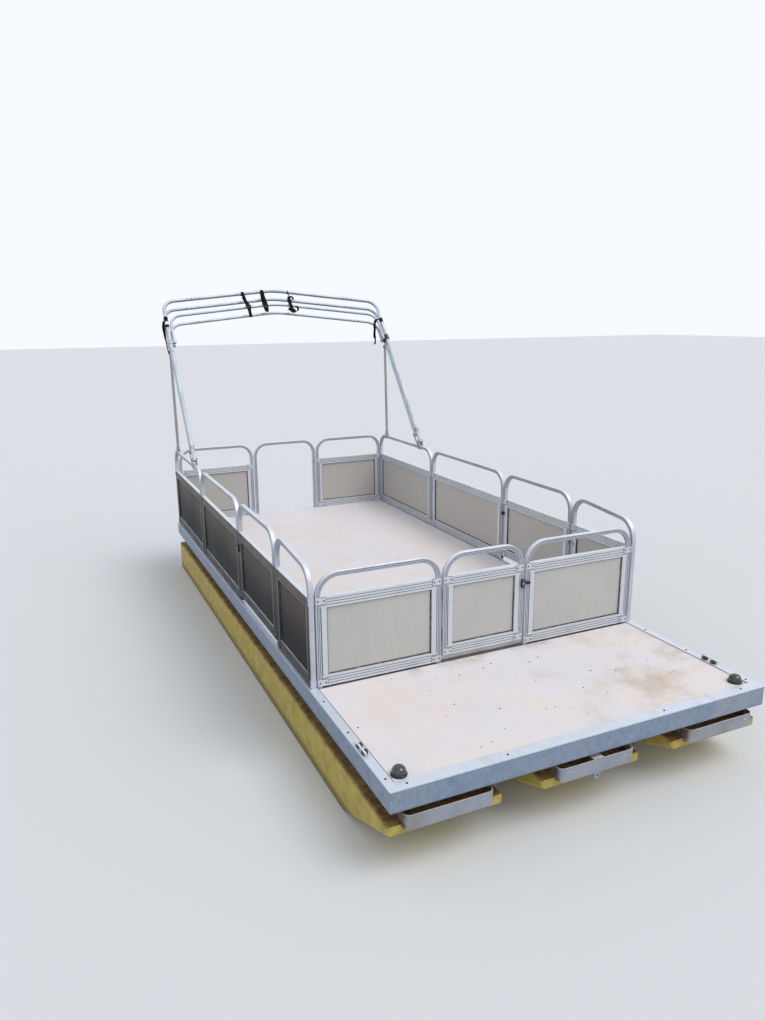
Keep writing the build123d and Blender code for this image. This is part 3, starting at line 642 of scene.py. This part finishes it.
# %% Put a piece on the boat
def facing(place, normal):
    turn = Vector(normal).to_track_quat("Z", "Y").to_matrix().to_4x4()
    return Matrix.Translation(place) @ turn


def pour(target, part, matrix):
    bmesh.ops.transform(part, matrix=matrix, verts=part.verts)
    holder = bpy.data.meshes.new("holder")
    part.to_mesh(holder)
    part.free()
    target.from_mesh(holder)
    bpy.data.meshes.remove(holder)


def place_piece(name, mesh, body, slot, finish=None, smooth=False):
    bmesh.ops.recalc_face_normals(mesh, faces=mesh.faces)
    piece = as_object(name, mesh, finish or slot_finishes[slot])
    faces = piece.data.polygons
    if smooth:
        faces.foreach_set("use_smooth", [True] * len(faces))
    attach(piece, body)
    print(name, len(faces), "faces, rides", body)
    return piece


# %% [markdown]
# ## Screws
# Dozens of small pan-head screws hold the boat together. One head is made from a short cone,
# with its top face inset and pushed down for the driver. Eight sides are enough for a thing so
# small. Copies of it are turned to face out of each surface.


# %% A screw head
def screw_head(radius, rise, sides=8):
    mesh = peg(radius, radius * 0.66, rise, sides)
    top = [face for face in mesh.faces if face.normal.z > 0.9]
    bmesh.ops.inset_region(mesh, faces=top, thickness=radius * 0.22)
    bmesh.ops.translate(mesh, verts=top[0].verts, vec=(0, 0, -rise * 0.5))
    return mesh


def screws(name, spots, body, radius, rise, slot="black_fitting"):
    mesh = bmesh.new()
    for place, normal in spots:
        pour(mesh, screw_head(radius, rise), facing(place, normal))
    return place_piece(name, mesh, body, slot)


# %% [markdown]
# ## The fence, panel by panel
# Screws and beads repeat on every panel, so a table gives where each panel begins and ends
# along its wall, how high its foot is, and which body it is part of. A wall is an origin, the
# direction along it, and the direction out of the boat.

# %% Table of the fence panels
walls = {
    "port": (Vector((FENCE_X, 0, 0)), Vector((0, 1, 0)), Vector((1, 0, 0))),
    "starboard": (Vector((-FENCE_X, 0, 0)), Vector((0, 1, 0)), Vector((-1, 0, 0))),
    "bow": (Vector((0, BOW_FENCE, 0)), Vector((1, 0, 0)), Vector((0, -1, 0))),
    "stern": (Vector((0, STERN_FENCE, 0)), Vector((1, 0, 0)), Vector((0, 1, 0))),
}
# each row: wall, where the panel begins and ends along it, height of its foot, body
panels = [
    ("bow", -0.9476, -0.274, 0.008, "hull"),
    ("bow", 0.234, 0.9476, 0.008, "hull"),
    ("bow", -0.264, 0.224, 0.036, "bow_gate"),
    ("stern", -0.9476, -0.298, 0.008, "hull"),
    ("stern", 0.298, 0.9476, 0.008, "hull"),
]
for side in ("port", "starboard"):
    panels += [
        (side, 1.125, 2.176, 0.008, "hull"),
        (side, 0.040, 1.115, 0.008, "hull"),
        (side, -0.725, 0.030, 0.036, side + "_gate"),
        (side, -1.2840, -0.735, 0.008, "hull"),
    ]


def on_wall(wall, run, out, height):
    origin, along, outward = walls[wall]
    return origin + along * run + outward * out + Vector((0, 0, DECK + height))


print(len(panels), "panels on", len(walls), "walls")

# %% [markdown]
# Each panel is held at its four corners by small plates, with a screw through the hoop's leg
# and another through the stile beside it, on the inner and the outer face.

# %% Screws at the panel corners
plate_face = TUBE + 0.002
leg_line, stile_line = TUBE, 0.0426
plate_middle = 0.018
corner_screws = {}
for wall, low, high, foot, body in panels:
    for offset in (leg_line, stile_line):
        for run in (low + offset, high - offset):
            for height in (foot + plate_middle, rail_top - plate_middle):
                for side in (1, -1):
                    spot = (on_wall(wall, run, side * plate_face, height), side * walls[wall][2])
                    corner_screws.setdefault(body, []).append(spot)
for body, spots in corner_screws.items():
    screws("corner_screws_" + body, spots, body, 0.0046, 0.0024)

# %% [markdown]
# ## The bead round each skin
# Where a skin meets its frame, a thin dark bead lies in the corner. Its dark tone is partly
# old black sealant, perished into an uneven line, and partly a painted shadow of the gap. Four
# thin bars would need their corners fitted. Instead, a grid with one face is inset, the middle
# is taken out, and the ring that is left gets its thickness from solidify.

# %% Sealant and painted shadow
sealant_and_shadow = Finish("sealant_and_painted_shadow")
missing = sealant_and_shadow.ramp(sealant_and_shadow.noise(0.018, 3.0, 0.6), 0.54, 0.62)
# the bead's dark tone: partly old sealant, partly painted shadow of the gap
bead_tone = sealant_and_shadow.mix(missing, tint(26, 25, 26), tint(128, 128, 130))
sealant_and_shadow.set(base_color=bead_tone, roughness=0.75)
sealant_and_shadow.bump(sealant_and_shadow.noise(0.003, 2.0), 0.0004, 0.6)
sealant_and_shadow.tell()


# %% One bead
bead_width, bead_rise = 0.0045, 0.0025


def bead(width, height):
    mesh = bmesh.new()
    bmesh.ops.create_grid(mesh, x_segments=1, y_segments=1, size=0.5)
    bmesh.ops.scale(mesh, vec=(width, height, 1), verts=mesh.verts)
    middle = mesh.faces[:]
    bmesh.ops.inset_region(
        mesh, faces=middle, thickness=bead_width, use_boundary=True, use_even_offset=True
    )
    bmesh.ops.delete(mesh, geom=middle, context="FACES_ONLY")
    bmesh.ops.solidify(mesh, geom=mesh.faces[:], thickness=-bead_rise)
    return mesh


# %% Beads on both faces of every skin
skin_face = 0.0015
skin_inset = 0.0556
beads = {}
plumb = Vector((0, 0, 1))
for wall, low, high, foot, body in panels:
    base, top = foot + rail_height, rail_top - rail_height
    for side in (1, -1):
        outward = side * walls[wall][2]
        turn = Matrix((plumb.cross(outward), plumb, outward)).transposed().to_4x4()
        turn.translation = on_wall(wall, (low + high) / 2, side * skin_face, (base + top) / 2)
        mesh = beads.setdefault(body, bmesh.new())
        pour(mesh, bead(high - low - 2 * skin_inset, top - base), turn)
for body, mesh in beads.items():
    place_piece("skin_beads_" + body, mesh, body, "black_fitting", sealant_and_shadow)

# %% [markdown]
# ## Hinges and latches
# Each hinge has three knuckles, the middle one on the gate and the others on the panel, and a
# leaf with two screws beside each of them. The latch throws a round-ended bolt toward the
# keeper on the next panel, and stops just short of it so that the gate can swing. The bolt is
# a cone with a rounded nose: its end edges are bevelled.

# %% Screws in the hinge leaves
# each row: body, wall, the hinge pin and the free edge along it
gates = (
    ("port_gate", "port", -0.730, 0.030),
    ("starboard_gate", "starboard", -0.730, 0.030),
    ("bow_gate", "bow", -0.269, 0.224),
)
leaf_face = -(TUBE + 0.003)
hinge_feet = 0.112, 0.330
knuckles = 0.010, 0.0304, 0.0508
hinge_spots = {}
for body, wall, pin, _ in gates:
    for foot in hinge_feet:
        for number, rise in enumerate(knuckles):
            leaf_body, leaf_side = (body, 1) if number == 1 else ("hull", -1)
            for reach in (0.025, 0.042):
                place = on_wall(wall, pin + leaf_side * reach, leaf_face, foot + rise)
                hinge_spots.setdefault(leaf_body, []).append((place, -walls[wall][2]))
for body, spots in hinge_spots.items():
    screws("hinge_screws_" + body, spots, body, 0.0034, 0.0016, "hinge_metal")


# %% Latch bolts
def bolt(length, radius):
    mesh = peg(radius, radius, length, 20)
    nose = [edge for edge in mesh.edges if all(vert.co.z > length * 0.9 for vert in edge.verts)]
    rounded(mesh, nose, radius * 0.6, 3)
    return mesh


latch_height = 0.356
latch_line, latch_face = 0.0125, TUBE + 0.012
for body, wall, _, end in gates:
    mesh = bmesh.new()
    _, along, outward = walls[wall]
    thrown = on_wall(wall, end - 0.004, TUBE + 0.006, latch_height)
    pour(mesh, bolt(0.007, 0.0045), facing(thrown, along))
    for rise in (-0.015, 0.015):
        place = on_wall(wall, end - latch_line, latch_face, latch_height + rise)
        pour(mesh, screw_head(0.0032, 0.0014), facing(place, outward))
    thumb = on_wall(wall, end - latch_line, latch_face, latch_height)
    pour(mesh, bolt(0.0035, 0.0060), facing(thumb, outward))
    place_piece(body + "_bolt", mesh, body, "hinge_metal")

# %% [markdown]
# ## Screws in the deck, its edge and its fittings
# The edge flange is screwed down about every half metre, and the deck sheet has its own
# scattered fixings, which show as dark dots: uneven ones ahead of the fence, and even rows
# behind it. The bow loops have two rivets each, and three small screws hold each lamp.

# %% Edge and deck screws
UP = (0, 0, 1)
BOW_FLANGE, STERN_FLANGE, SIDE_FLANGE = BOW + 0.029, STERN - 0.021, 0.968
edge_spots = [((x, BOW_FLANGE, FLANGE), UP) for x in (-0.904, -0.446, 0.389, 0.866)]
edge_spots += [((x, STERN_FLANGE, FLANGE), UP) for x in (-0.62, 0.62)]
side_rows = (-2.099, -1.72, -1.42)
edge_spots += [((s * SIDE_FLANGE, y, FLANGE), UP) for s in (1, -1) for y in side_rows]
screws("edge_screws", edge_spots, "hull", 0.0058, 0.0024)

bow_deck = (
    (-0.262, -1.450), (-0.110, -1.432), (-0.049, -1.404), (-0.432, -1.696),
    (-0.266, -1.822), (-0.913, -1.696), (0.211, -1.449), (0.138, -1.478),
    (0.356, -1.692), (0.472, -1.744), (0.208, -1.821),
)
screw_rows = [-0.98 + row * 0.61 for row in range(6)]
deck_spots = [((x, y, DECK), UP) for x, y in bow_deck]
deck_spots += [((x, y, DECK), UP) for x in (-0.61, 0.0, 0.61) for y in screw_rows]
screws("deck_screws", deck_spots, "hull", 0.0050, 0.0012)

# %% Loop rivets and lamp screws
rivets = [
    ((x + side * 0.150, BOW - 0.006, 0.315), (0, -1, 0))
    for x in (-0.725, 0.0, 0.725)
    for side in (1, -1)
]
screws("loop_rivets", rivets, "hull", 0.0052, 0.0022, "loop_bar")
LAMP_X, LAMP_Y, LAMP_TOP, LAMP_RING = 0.905, -2.089, DECK + 0.0085, 0.0318
lamp_spots = []
for side in (1, -1):
    for angle in (math.radians(turn) for turn in (35, 155, 275)):
        x = side * LAMP_X + LAMP_RING * math.cos(angle)
        lamp_spots.append(((x, LAMP_Y + LAMP_RING * math.sin(angle), LAMP_TOP), UP))
screws("lamp_screws", lamp_spots, "hull", 0.0019, 0.0008, "hinge_metal")

# %% [markdown]
# ## Edge cleats
# Each side has a low cleat on the flange near the bow: two moulded feet, no taller than a
# thumb is thick, and a bright round bar held in their outer top edges. The feet are blocks
# with their upper edges rounded, and the bar is a rod with rounded ends. The model's own
# cleats stand taller, so these take their place.

# %% One foot and one bar
foot_low, foot_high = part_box("cleat_feet")
bar_low, bar_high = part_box("cleat_bars")
foot_width, foot_height, foot_round = 0.024, 0.015, 0.003
bar_radius, bar_round = 0.0048, 0.0015
cleat_x = foot_high[0] - foot_width / 2
foot_rows = (foot_low[1] + foot_width / 2, foot_high[1] - foot_width / 2)
bar_x = bar_high[0] - bar_radius
bar_z = FLANGE + foot_height


def cleat_foot():
    mesh = bmesh.new()
    bmesh.ops.create_cube(mesh, size=1.0)
    bmesh.ops.scale(mesh, vec=(foot_width, foot_width, foot_height), verts=mesh.verts)
    upper = [edge for edge in mesh.edges if edge.verts[0].co.z + edge.verts[1].co.z > -0.001]
    rounded(mesh, upper, foot_round)
    return mesh


def cleat_bar(length):
    mesh = peg(bar_radius, bar_radius, length, 12)
    ends = [edge for edge in mesh.edges if edge.calc_length() < bar_radius]
    rounded(mesh, ends, bar_round)
    return mesh


# %% Edge cleats
feet, rods, cleat_spots = bmesh.new(), bmesh.new(), []
for side in (1, -1):
    for y in foot_rows:
        middle = Vector((side * cleat_x, y, FLANGE + foot_height / 2))
        pour(feet, cleat_foot(), Matrix.Translation(middle))
        inboard = Vector((-side, 0, 0))
        cleat_spots.append((middle + inboard * foot_width / 2, inboard))
    bow_end = (side * bar_x, bar_low[1], bar_z)
    pour(rods, cleat_bar(bar_high[1] - bar_low[1]), facing(bow_end, (0, 1, 0)))
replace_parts(place_piece("cleat_posts", feet, "hull", "black_fitting"), "cleat_feet")
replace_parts(place_piece("cleat_rods", rods, "hull", "loop_bar", rail), "cleat_bars")
screws("cleat_screws", cleat_spots, "hull", 0.0032, 0.0014, "hinge_metal")

# %% [markdown]
# ## The sun top's own measure
# The folded top leans aft by 38 degrees, so its fittings are placed by how far up a leg they
# are, how far across the boat, and how far ahead of the front bow's plane.

# %% The plane of the front bow
lean = math.radians(38)
pivot = Vector((0, 1.348, 1.153))
up_leg = Vector((0, math.sin(lean), math.cos(lean)))
off_leg = Vector((0, -math.cos(lean), math.sin(lean)))
LEG_X = 0.9663
crown = 0.127
# each bow: height of its shoulder, half its width, its tube's radius, how far ahead, body
bow_sizes = {
    "main": (1.488, LEG_X, 0.014, 0.0, "main_bow_body"),
    "aft": (1.432, LEG_X, 0.0127, -0.045, "hull"),
    "fourth": (1.284, 0.9333, 0.011, -0.045, "fourth_bow_body"),
}


def on_bow(x, height, off):
    return pivot + Vector((x, 0, 0)) + up_leg * height + off_leg * off


def crown_height(bow, x):
    shoulder, half_width = bow_sizes[bow][:2]
    return shoulder + crown * (1 - abs(x) / half_width)


print("front bow's crown at", [round(v, 3) for v in on_bow(0, crown_height("main", 0), 0)])

# %% [markdown]
# ## Screws, bolts and collars on the bows
# Three or four small screws stand in the crown near each corner. A hexagonal bolt holds each
# slide, and two collars mark the foot of each front leg: a short ring profile spun round it.

# %% Screws in the crowns
toward_bow = (off_leg - up_leg * 0.35).normalized()
seated = 0.0002
crown_rows = {
    "main": (0.763, 0.727, 0.690, 0.655),
    "aft": (0.768, 0.732, 0.668),
    "fourth": (0.752, 0.718, 0.688),
}
for bow, places in crown_rows.items():
    shoulder, half_width, radius, off, body = bow_sizes[bow]
    spots = []
    for x in places:
        for side in (1, -1):
            middle = on_bow(side * x, crown_height(bow, x), off)
            spots.append((middle + toward_bow * (radius - seated), toward_bow))
    screws("crown_screws_" + bow, spots, body, 0.0038, 0.0020)

# %% Bolts in the slides, and one screw in the starboard leg
slide_height = 1.088
for bow, out in (("main", 0.0200), ("aft", 0.0187)):
    off, body = bow_sizes[bow][3:]
    mesh = bmesh.new()
    for side in (1, -1):
        flank = on_bow(side * (LEG_X + out), slide_height, off)
        pour(mesh, screw_head(0.0072, 0.0046, 6), facing(flank, (side, 0, 0)))
        front = on_bow(side * LEG_X, slide_height, off + out)
        pour(mesh, screw_head(0.0078, 0.0030, 12), facing(front, off_leg))
    place_piece(bow + "_slide_bolts", mesh, body, "hinge_metal")
leg_front = on_bow(-LEG_X, 0.985, 0.0138)
screws("leg_screw", [(leg_front, off_leg)], "main_bow_body", 0.0042, 0.0020)


# %% Collars on the front legs
def collar(inner, outer, height):
    mesh = bmesh.new()
    lip = (outer - inner) * 0.4
    points = [(inner, -height / 2), (outer - lip, -height / 2), (outer, -height / 2 + lip)]
    points += [(outer, height / 2 - lip), (outer - lip, height / 2), (inner, height / 2)]
    ring = [mesh.verts.new((across, 0, along)) for across, along in points]
    profile = [mesh.edges.new(pair) for pair in zip(ring, ring[1:] + ring[:1])]
    bmesh.ops.spin(
        mesh, geom=ring + profile, cent=(0, 0, 0), axis=(0, 0, 1), angle=2 * math.pi,
        steps=20, use_merge=True,
    )
    return mesh


collars = bmesh.new()
bore = 0.0139
for side in (1, -1):
    for outer, rise, station in ((0.0185, 0.020, 0.118), (0.0170, 0.008, 0.094)):
        middle = on_bow(side * LEG_X, station, 0)
        pour(collars, collar(bore, outer, rise), facing(middle, up_leg))
place_piece("leg_collars", collars, "main_bow_body", "hinge_metal")

# %% [markdown]
# ## Ribbons of webbing
# The straps are flat webbing, so each is a ribbon: a grid of one face by many, whose rows are
# laid along a path of places and directions. So short a strap hardly moves, and its folds come
# out truer from listed points than from a simulation. Its UV map holds metres across and along,
# which the weave follows.


# %% A ribbon
def ribbon(path, width, thickness=0.0016):
    mesh = bmesh.new()
    rows = len(path) - 1
    bmesh.ops.create_grid(mesh, x_segments=1, y_segments=rows, size=0.5)
    uv = mesh.loops.layers.uv.new("strap")
    lengths = [0.0]
    for (start, _), (end, _) in zip(path, path[1:]):
        lengths.append(lengths[-1] + (end - start).length)
    laid = {}
    for vert in mesh.verts:
        row = round((vert.co.y + 0.5) * rows)
        edge_side = 1 if vert.co.x > 0 else -1
        laid[vert] = (edge_side * width / 2, lengths[row])
        place, side = path[row]
        vert.co = place + side.normalized() * edge_side * width / 2
    for face in mesh.faces:
        for loop in face.loops:
            loop[uv].uv = laid[loop.vert]
    bmesh.ops.solidify(mesh, geom=mesh.faces[:], thickness=thickness)
    return mesh


# %% A smooth path
def smooth_path(stops, sides, steps=6):
    """Stops joined by a smooth curve that passes through every one of them."""
    path, count = [], len(stops)
    for index in range(count - 1):
        before, start = stops[max(index - 1, 0)], stops[index]
        end, after = stops[index + 1], stops[min(index + 2, count - 1)]
        for step in range(steps + (index == count - 2)):
            t = step / steps
            bend = (end - before) * t + (2 * before - 5 * start + 4 * end - after) * t * t
            bend += (3 * start - before - 3 * end + after) * t**3
            path.append((start + bend / 2, sides[index].lerp(sides[index + 1], t)))
    return path


across_boat = Vector((1, 0, 0))
still = Matrix.Identity(4)
print("webbing 25 mm wide, 1.6 mm thick")

# %% [markdown]
# A ladder-lock buckle has two slots. It starts as a grid of two faces, each inset and taken
# out, and the bars that are left get their thickness and rounded edges.


# %% A buckle
def buckle(width, height, bar=0.0050, thickness=0.0042):
    mesh = bmesh.new()
    bmesh.ops.create_grid(mesh, x_segments=1, y_segments=2, size=0.5)
    bmesh.ops.scale(mesh, vec=(width, height, 1), verts=mesh.verts)
    holes = mesh.faces[:]
    bmesh.ops.inset_individual(mesh, faces=holes, thickness=bar)
    bmesh.ops.delete(mesh, geom=holes, context="FACES_ONLY")
    bmesh.ops.solidify(mesh, geom=mesh.faces[:], thickness=thickness)
    bmesh.ops.recalc_face_normals(mesh, faces=mesh.faces)
    rounded(mesh, [edge for edge in mesh.edges if edge.calc_face_angle(0) > 1.0], 0.0011)
    return mesh


def on_straps(x, height, off, turn=0.0):
    sideways = across_boat * math.cos(turn) + up_leg * math.sin(turn)
    upward_turned = up_leg * math.cos(turn) - across_boat * math.sin(turn)
    matrix = Matrix((sideways, upward_turned, off_leg)).transposed().to_4x4()
    matrix.translation = on_bow(x, height, off)
    return matrix


# %% [markdown]
# ## Straps on the crowns
# Three straps hang from the crowns, ahead of the folded bows, and each is wrapped once round
# the front bow. The first has a buckle halfway and ends below the last bow. The second hangs
# doubled, with a lock on its front. The third begins at a small loop and ends in a loose knot.
# A row in the tables is one stop of a strand: how far below the crown, how far sideways and
# ahead it is, and how its edge is twisted.


# %% A strap, with its wrap and its strands
def wrap(x, reach):
    height = crown_height("main", x)
    slope = crown / LEG_X * (1 if x < 0 else -1)
    side = (across_boat + up_leg * slope).normalized()
    path = []
    for angle in range(-60, -421, -20):
        turn = math.radians(angle)
        place = on_bow(x, height + reach * math.sin(turn), reach * math.cos(turn))
        path.append((place, side))
    return path


def hang(x, drops):
    height = crown_height("main", x)
    stops = [on_bow(x + shift, height - drop, ahead) for drop, shift, ahead, _ in drops]
    sides = [across_boat * math.cos(t) + off_leg * math.sin(t) for *_, t in drops]
    return smooth_path(stops, sides)


def strap(x, wrap_width, strands, reach=0.0166):
    pour(webs, ribbon(wrap(x, reach), wrap_width), still)
    for drops, width in strands:
        pour(webs, ribbon(hang(x, drops), width), still)


webs, buckles = bmesh.new(), bmesh.new()

# %% The strap with a buckle
x_first = -0.277
first_hang = (
    (0.008, 0.0, 0.015, 0.0), (0.05, 0.004, 0.0172, 0.15), (0.1, 0.008, 0.0185, -0.1),
    (0.15, 0.018, 0.0205, 0.2), (0.205, 0.024, 0.018, -0.1), (0.262, 0.023, 0.0165, 0.1),
)
first_layer = (
    (0.052, -0.003, 0.02, 0.25), (0.085, 0.004, 0.0215, 0.0), (0.11, 0.012, 0.022, 0.2),
    (0.14, 0.022, 0.0245, 0.35), (0.165, 0.026, 0.0255, 0.1), (0.196, 0.022, 0.0225, 0.2),
)
second_layer = (
    (0.122, 0.004, 0.0255, -0.3), (0.142, 0.03, 0.0275, 0.2), (0.16, 0.036, 0.027, 0.4),
    (0.176, 0.018, 0.0265, 0.1),
)
strap(x_first, 0.025, ((first_hang, 0.028), (first_layer, 0.03), (second_layer, 0.02)))
buckle_height = crown_height("main", x_first) - 0.16
pour(buckles, buckle(0.04, 0.04), on_straps(x_first + 0.018, buckle_height, 0.03, 0.15))
print("first strap hangs", first_hang[-1][0], "m")

# %% The doubled strap
x_second = -0.1
left_strand = (
    (0.006, -0.004, 0.015, 0.1), (0.06, -0.012, 0.018, 0.3), (0.12, -0.014, 0.0185, 0.2),
    (0.172, -0.01, 0.018, 0.2), (0.206, -0.006, 0.017, 0.1), (0.228, 0.002, 0.0165, 0.1),
)
right_strand = (
    (0.006, 0.004, 0.017, -0.1), (0.06, 0.004, 0.0205, -0.4), (0.12, 0.009, 0.021, -0.2),
    (0.172, 0.012, 0.02, -0.2), (0.206, 0.008, 0.019, -0.1), (0.232, 0.0, 0.0185, 0.0),
)
middle_strand = (
    (0.1, 0.0, 0.019, 0.3), (0.14, -0.002, 0.022, 0.1), (0.178, 0.002, 0.0225, 0.2),
    (0.214, 0.002, 0.02, 0.1),
)
strands = (left_strand, 0.025), (right_strand, 0.025), (middle_strand, 0.018)
strap(x_second, 0.025, strands)
lock_height = crown_height("main", x_second) - 0.18
pour(buckles, buckle(0.046, 0.034), on_straps(x_second - 0.002, lock_height, 0.0262, -0.1))

# %% The knotted strap
x_third = 0.135
third_drop = (
    (0.058, 0.004, 0.0165, 0.1), (0.085, -0.006, 0.018, 0.3), (0.125, -0.008, 0.019, 0.1),
    (0.165, -0.004, 0.02, -0.2), (0.2, -0.006, 0.019, 0.2), (0.236, 0.01, 0.018, 0.3),
)
ring_loop = (
    (0.058, 0.002, 0.0185, 0.6), (0.066, 0.024, 0.02, 0.5), (0.092, 0.03, 0.0205, 0.4),
    (0.11, 0.008, 0.021, 0.3), (0.13, -0.008, 0.0205, 0.1),
)
knot_loop = (
    (0.196, -0.026, 0.021, 0.5), (0.214, -0.002, 0.026, 0.3), (0.228, 0.03, 0.0235, 0.4),
    (0.208, 0.05, 0.021, 0.5), (0.18, 0.05, 0.02, 0.4), (0.168, 0.036, 0.0195, 0.4),
)
knot_tie = (
    (0.214, -0.04, 0.0215, 0.4), (0.198, -0.014, 0.0265, 0.2), (0.214, 0.01, 0.0285, 0.3),
    (0.24, 0.004, 0.024, 0.4),
)
knot_end = (
    (0.188, -0.03, 0.0225, 0.3), (0.206, -0.02, 0.0245, 0.1), (0.228, -0.014, 0.0215, 0.3),
)
back_tie = (
    (0.004, 0.0, 0.015, 0.0), (0.03, 0.001, 0.0158, 0.1), (0.062, 0.003, 0.0165, 0.2),
)
strands = (
    (third_drop, 0.032), (ring_loop, 0.016), (knot_loop, 0.018), (knot_tie, 0.024),
    (knot_end, 0.022), (back_tie, 0.008),
)
strap(x_third, 0.008, strands, reach=0.0156)
tie_straps = place_piece("tie_straps", webs, "main_bow_body", "strap_webbing", smooth=True)
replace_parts(tie_straps, "top_straps")
place_piece("strap_buckles", buckles, "main_bow_body", "black_fitting")

# %% [markdown]
# ## Webbing on the legs
# Spare webbing is tied to each front leg. On the starboard leg it is a thick wrap with two
# tails down the outer side. On the port leg it hangs inboard in a loose bunch of three strands.
# The bands go round the front leg alone, so that the folding legs beside it stay free. A row
# of the falls is one stop: how far out from the leg, how far aft and up, and how its edge turns.


# %% Bands round the front legs, and what falls from them
def leg_band(side, station, rise, reach):
    path = []
    for angle in range(0, 361, 20):
        turn = math.radians(angle)
        place = on_bow(side * LEG_X + reach * math.cos(turn), station, reach * math.sin(turn))
        path.append((place, up_leg))
    return ribbon(path, rise)


def leg_fall(side, top, stops, width):
    aft = Vector((0, 1, 0))
    places = [Vector((side * (LEG_X + out), top.y + y, top.z + z)) for out, y, z, _ in stops]
    sides = [across_boat * math.cos(turn) + aft * math.sin(turn) for *_, turn in stops]
    return ribbon(smooth_path(places, sides), width)


# each row: side, how far up the leg, the webbing's width, its distance from the middle
leg_bands = (
    (-1, 1.3, 0.026, 0.0152), (-1, 1.322, 0.022, 0.016), (-1, 1.24, 0.026, 0.0156),
    (1, 1.268, 0.024, 0.0152), (1, 1.286, 0.026, 0.0156),
)
leg_webs = bmesh.new()
for side, station, rise, reach in leg_bands:
    pour(leg_webs, leg_band(side, station, rise, reach), still)

# %% The falls on both legs
starboard_falls = (
    ((0.016, -0.006, 0.0, 0.8), (0.0225, -0.008, -0.04, 0.5), (0.0235, -0.022, -0.09, 0.7),
     (0.0215, -0.044, -0.15, 0.9), (0.019, -0.072, -0.215, 1.1), (0.0165, -0.098, -0.268, 1.3)),
    ((0.019, 0.006, -0.004, 0.4), (0.026, 0.004, -0.05, 0.3), (0.024, -0.01, -0.1, 0.6),
     (0.021, -0.026, -0.15, 0.8)),
)
port_falls = (
    ((-0.008, -0.001, -0.004, 0.2), (-0.034, -0.003, -0.004, 0.1), (-0.056, 0.004, -0.014, 0.2),
     (-0.062, 0.014, -0.06, 0.5), (-0.066, 0.016, -0.12, 0.2), (-0.06, 0.012, -0.18, 0.6),
     (-0.066, 0.014, -0.228, 0.4)),
    ((-0.034, -0.005, 0.002, 0.1), (-0.06, 0.0, -0.008, 0.3), (-0.078, 0.006, -0.04, 0.9),
     (-0.072, 0.006, -0.09, 0.4), (-0.08, 0.006, -0.135, 0.9), (-0.074, 0.004, -0.17, 0.3)),
    ((-0.05, -0.004, 0.0, 0.5), (-0.066, 0.0, -0.05, 1.0), (-0.058, 0.008, -0.1, 1.4),
     (-0.07, 0.01, -0.16, 0.8), (-0.062, 0.012, -0.205, 1.2)),
)
for side, top, width, falls in (
    (-1, on_bow(0, 1.3, 0), 0.024, starboard_falls),
    (1, on_bow(0, 1.284, 0.0175), 0.022, port_falls),
):
    for stops in falls:
        pour(leg_webs, leg_fall(side, top, stops, width), still)
place_piece("leg_webbing", leg_webs, "main_bow_body", "strap_webbing", smooth=True)

# %% [markdown]
# A white patch of tape shows between the bands on the starboard leg. It is a ring like them, a
# little closer to the leg, and it has a creased finish of its own.

# %% White tape
tape = Finish("white_tape")
creases = tape.noise(0.006, 3.0, 0.6)
tape.set(base_color=tape.mix(creases, tint(226, 228, 232), tint(240, 242, 246)), roughness=0.6)
tape.bump(creases, 0.0004, 0.6)
tape_mesh = bmesh.new()
pour(tape_mesh, leg_band(-1, 1.266, 0.034, 0.0150), still)
place_piece("leg_tape", tape_mesh, "main_bow_body", "strap_webbing", tape)

# %% [markdown]
# ## The last step
# The picture is shown through the plain Standard view transform.

# %% View transform
bpy.context.scene.view_settings.view_transform = "Standard"
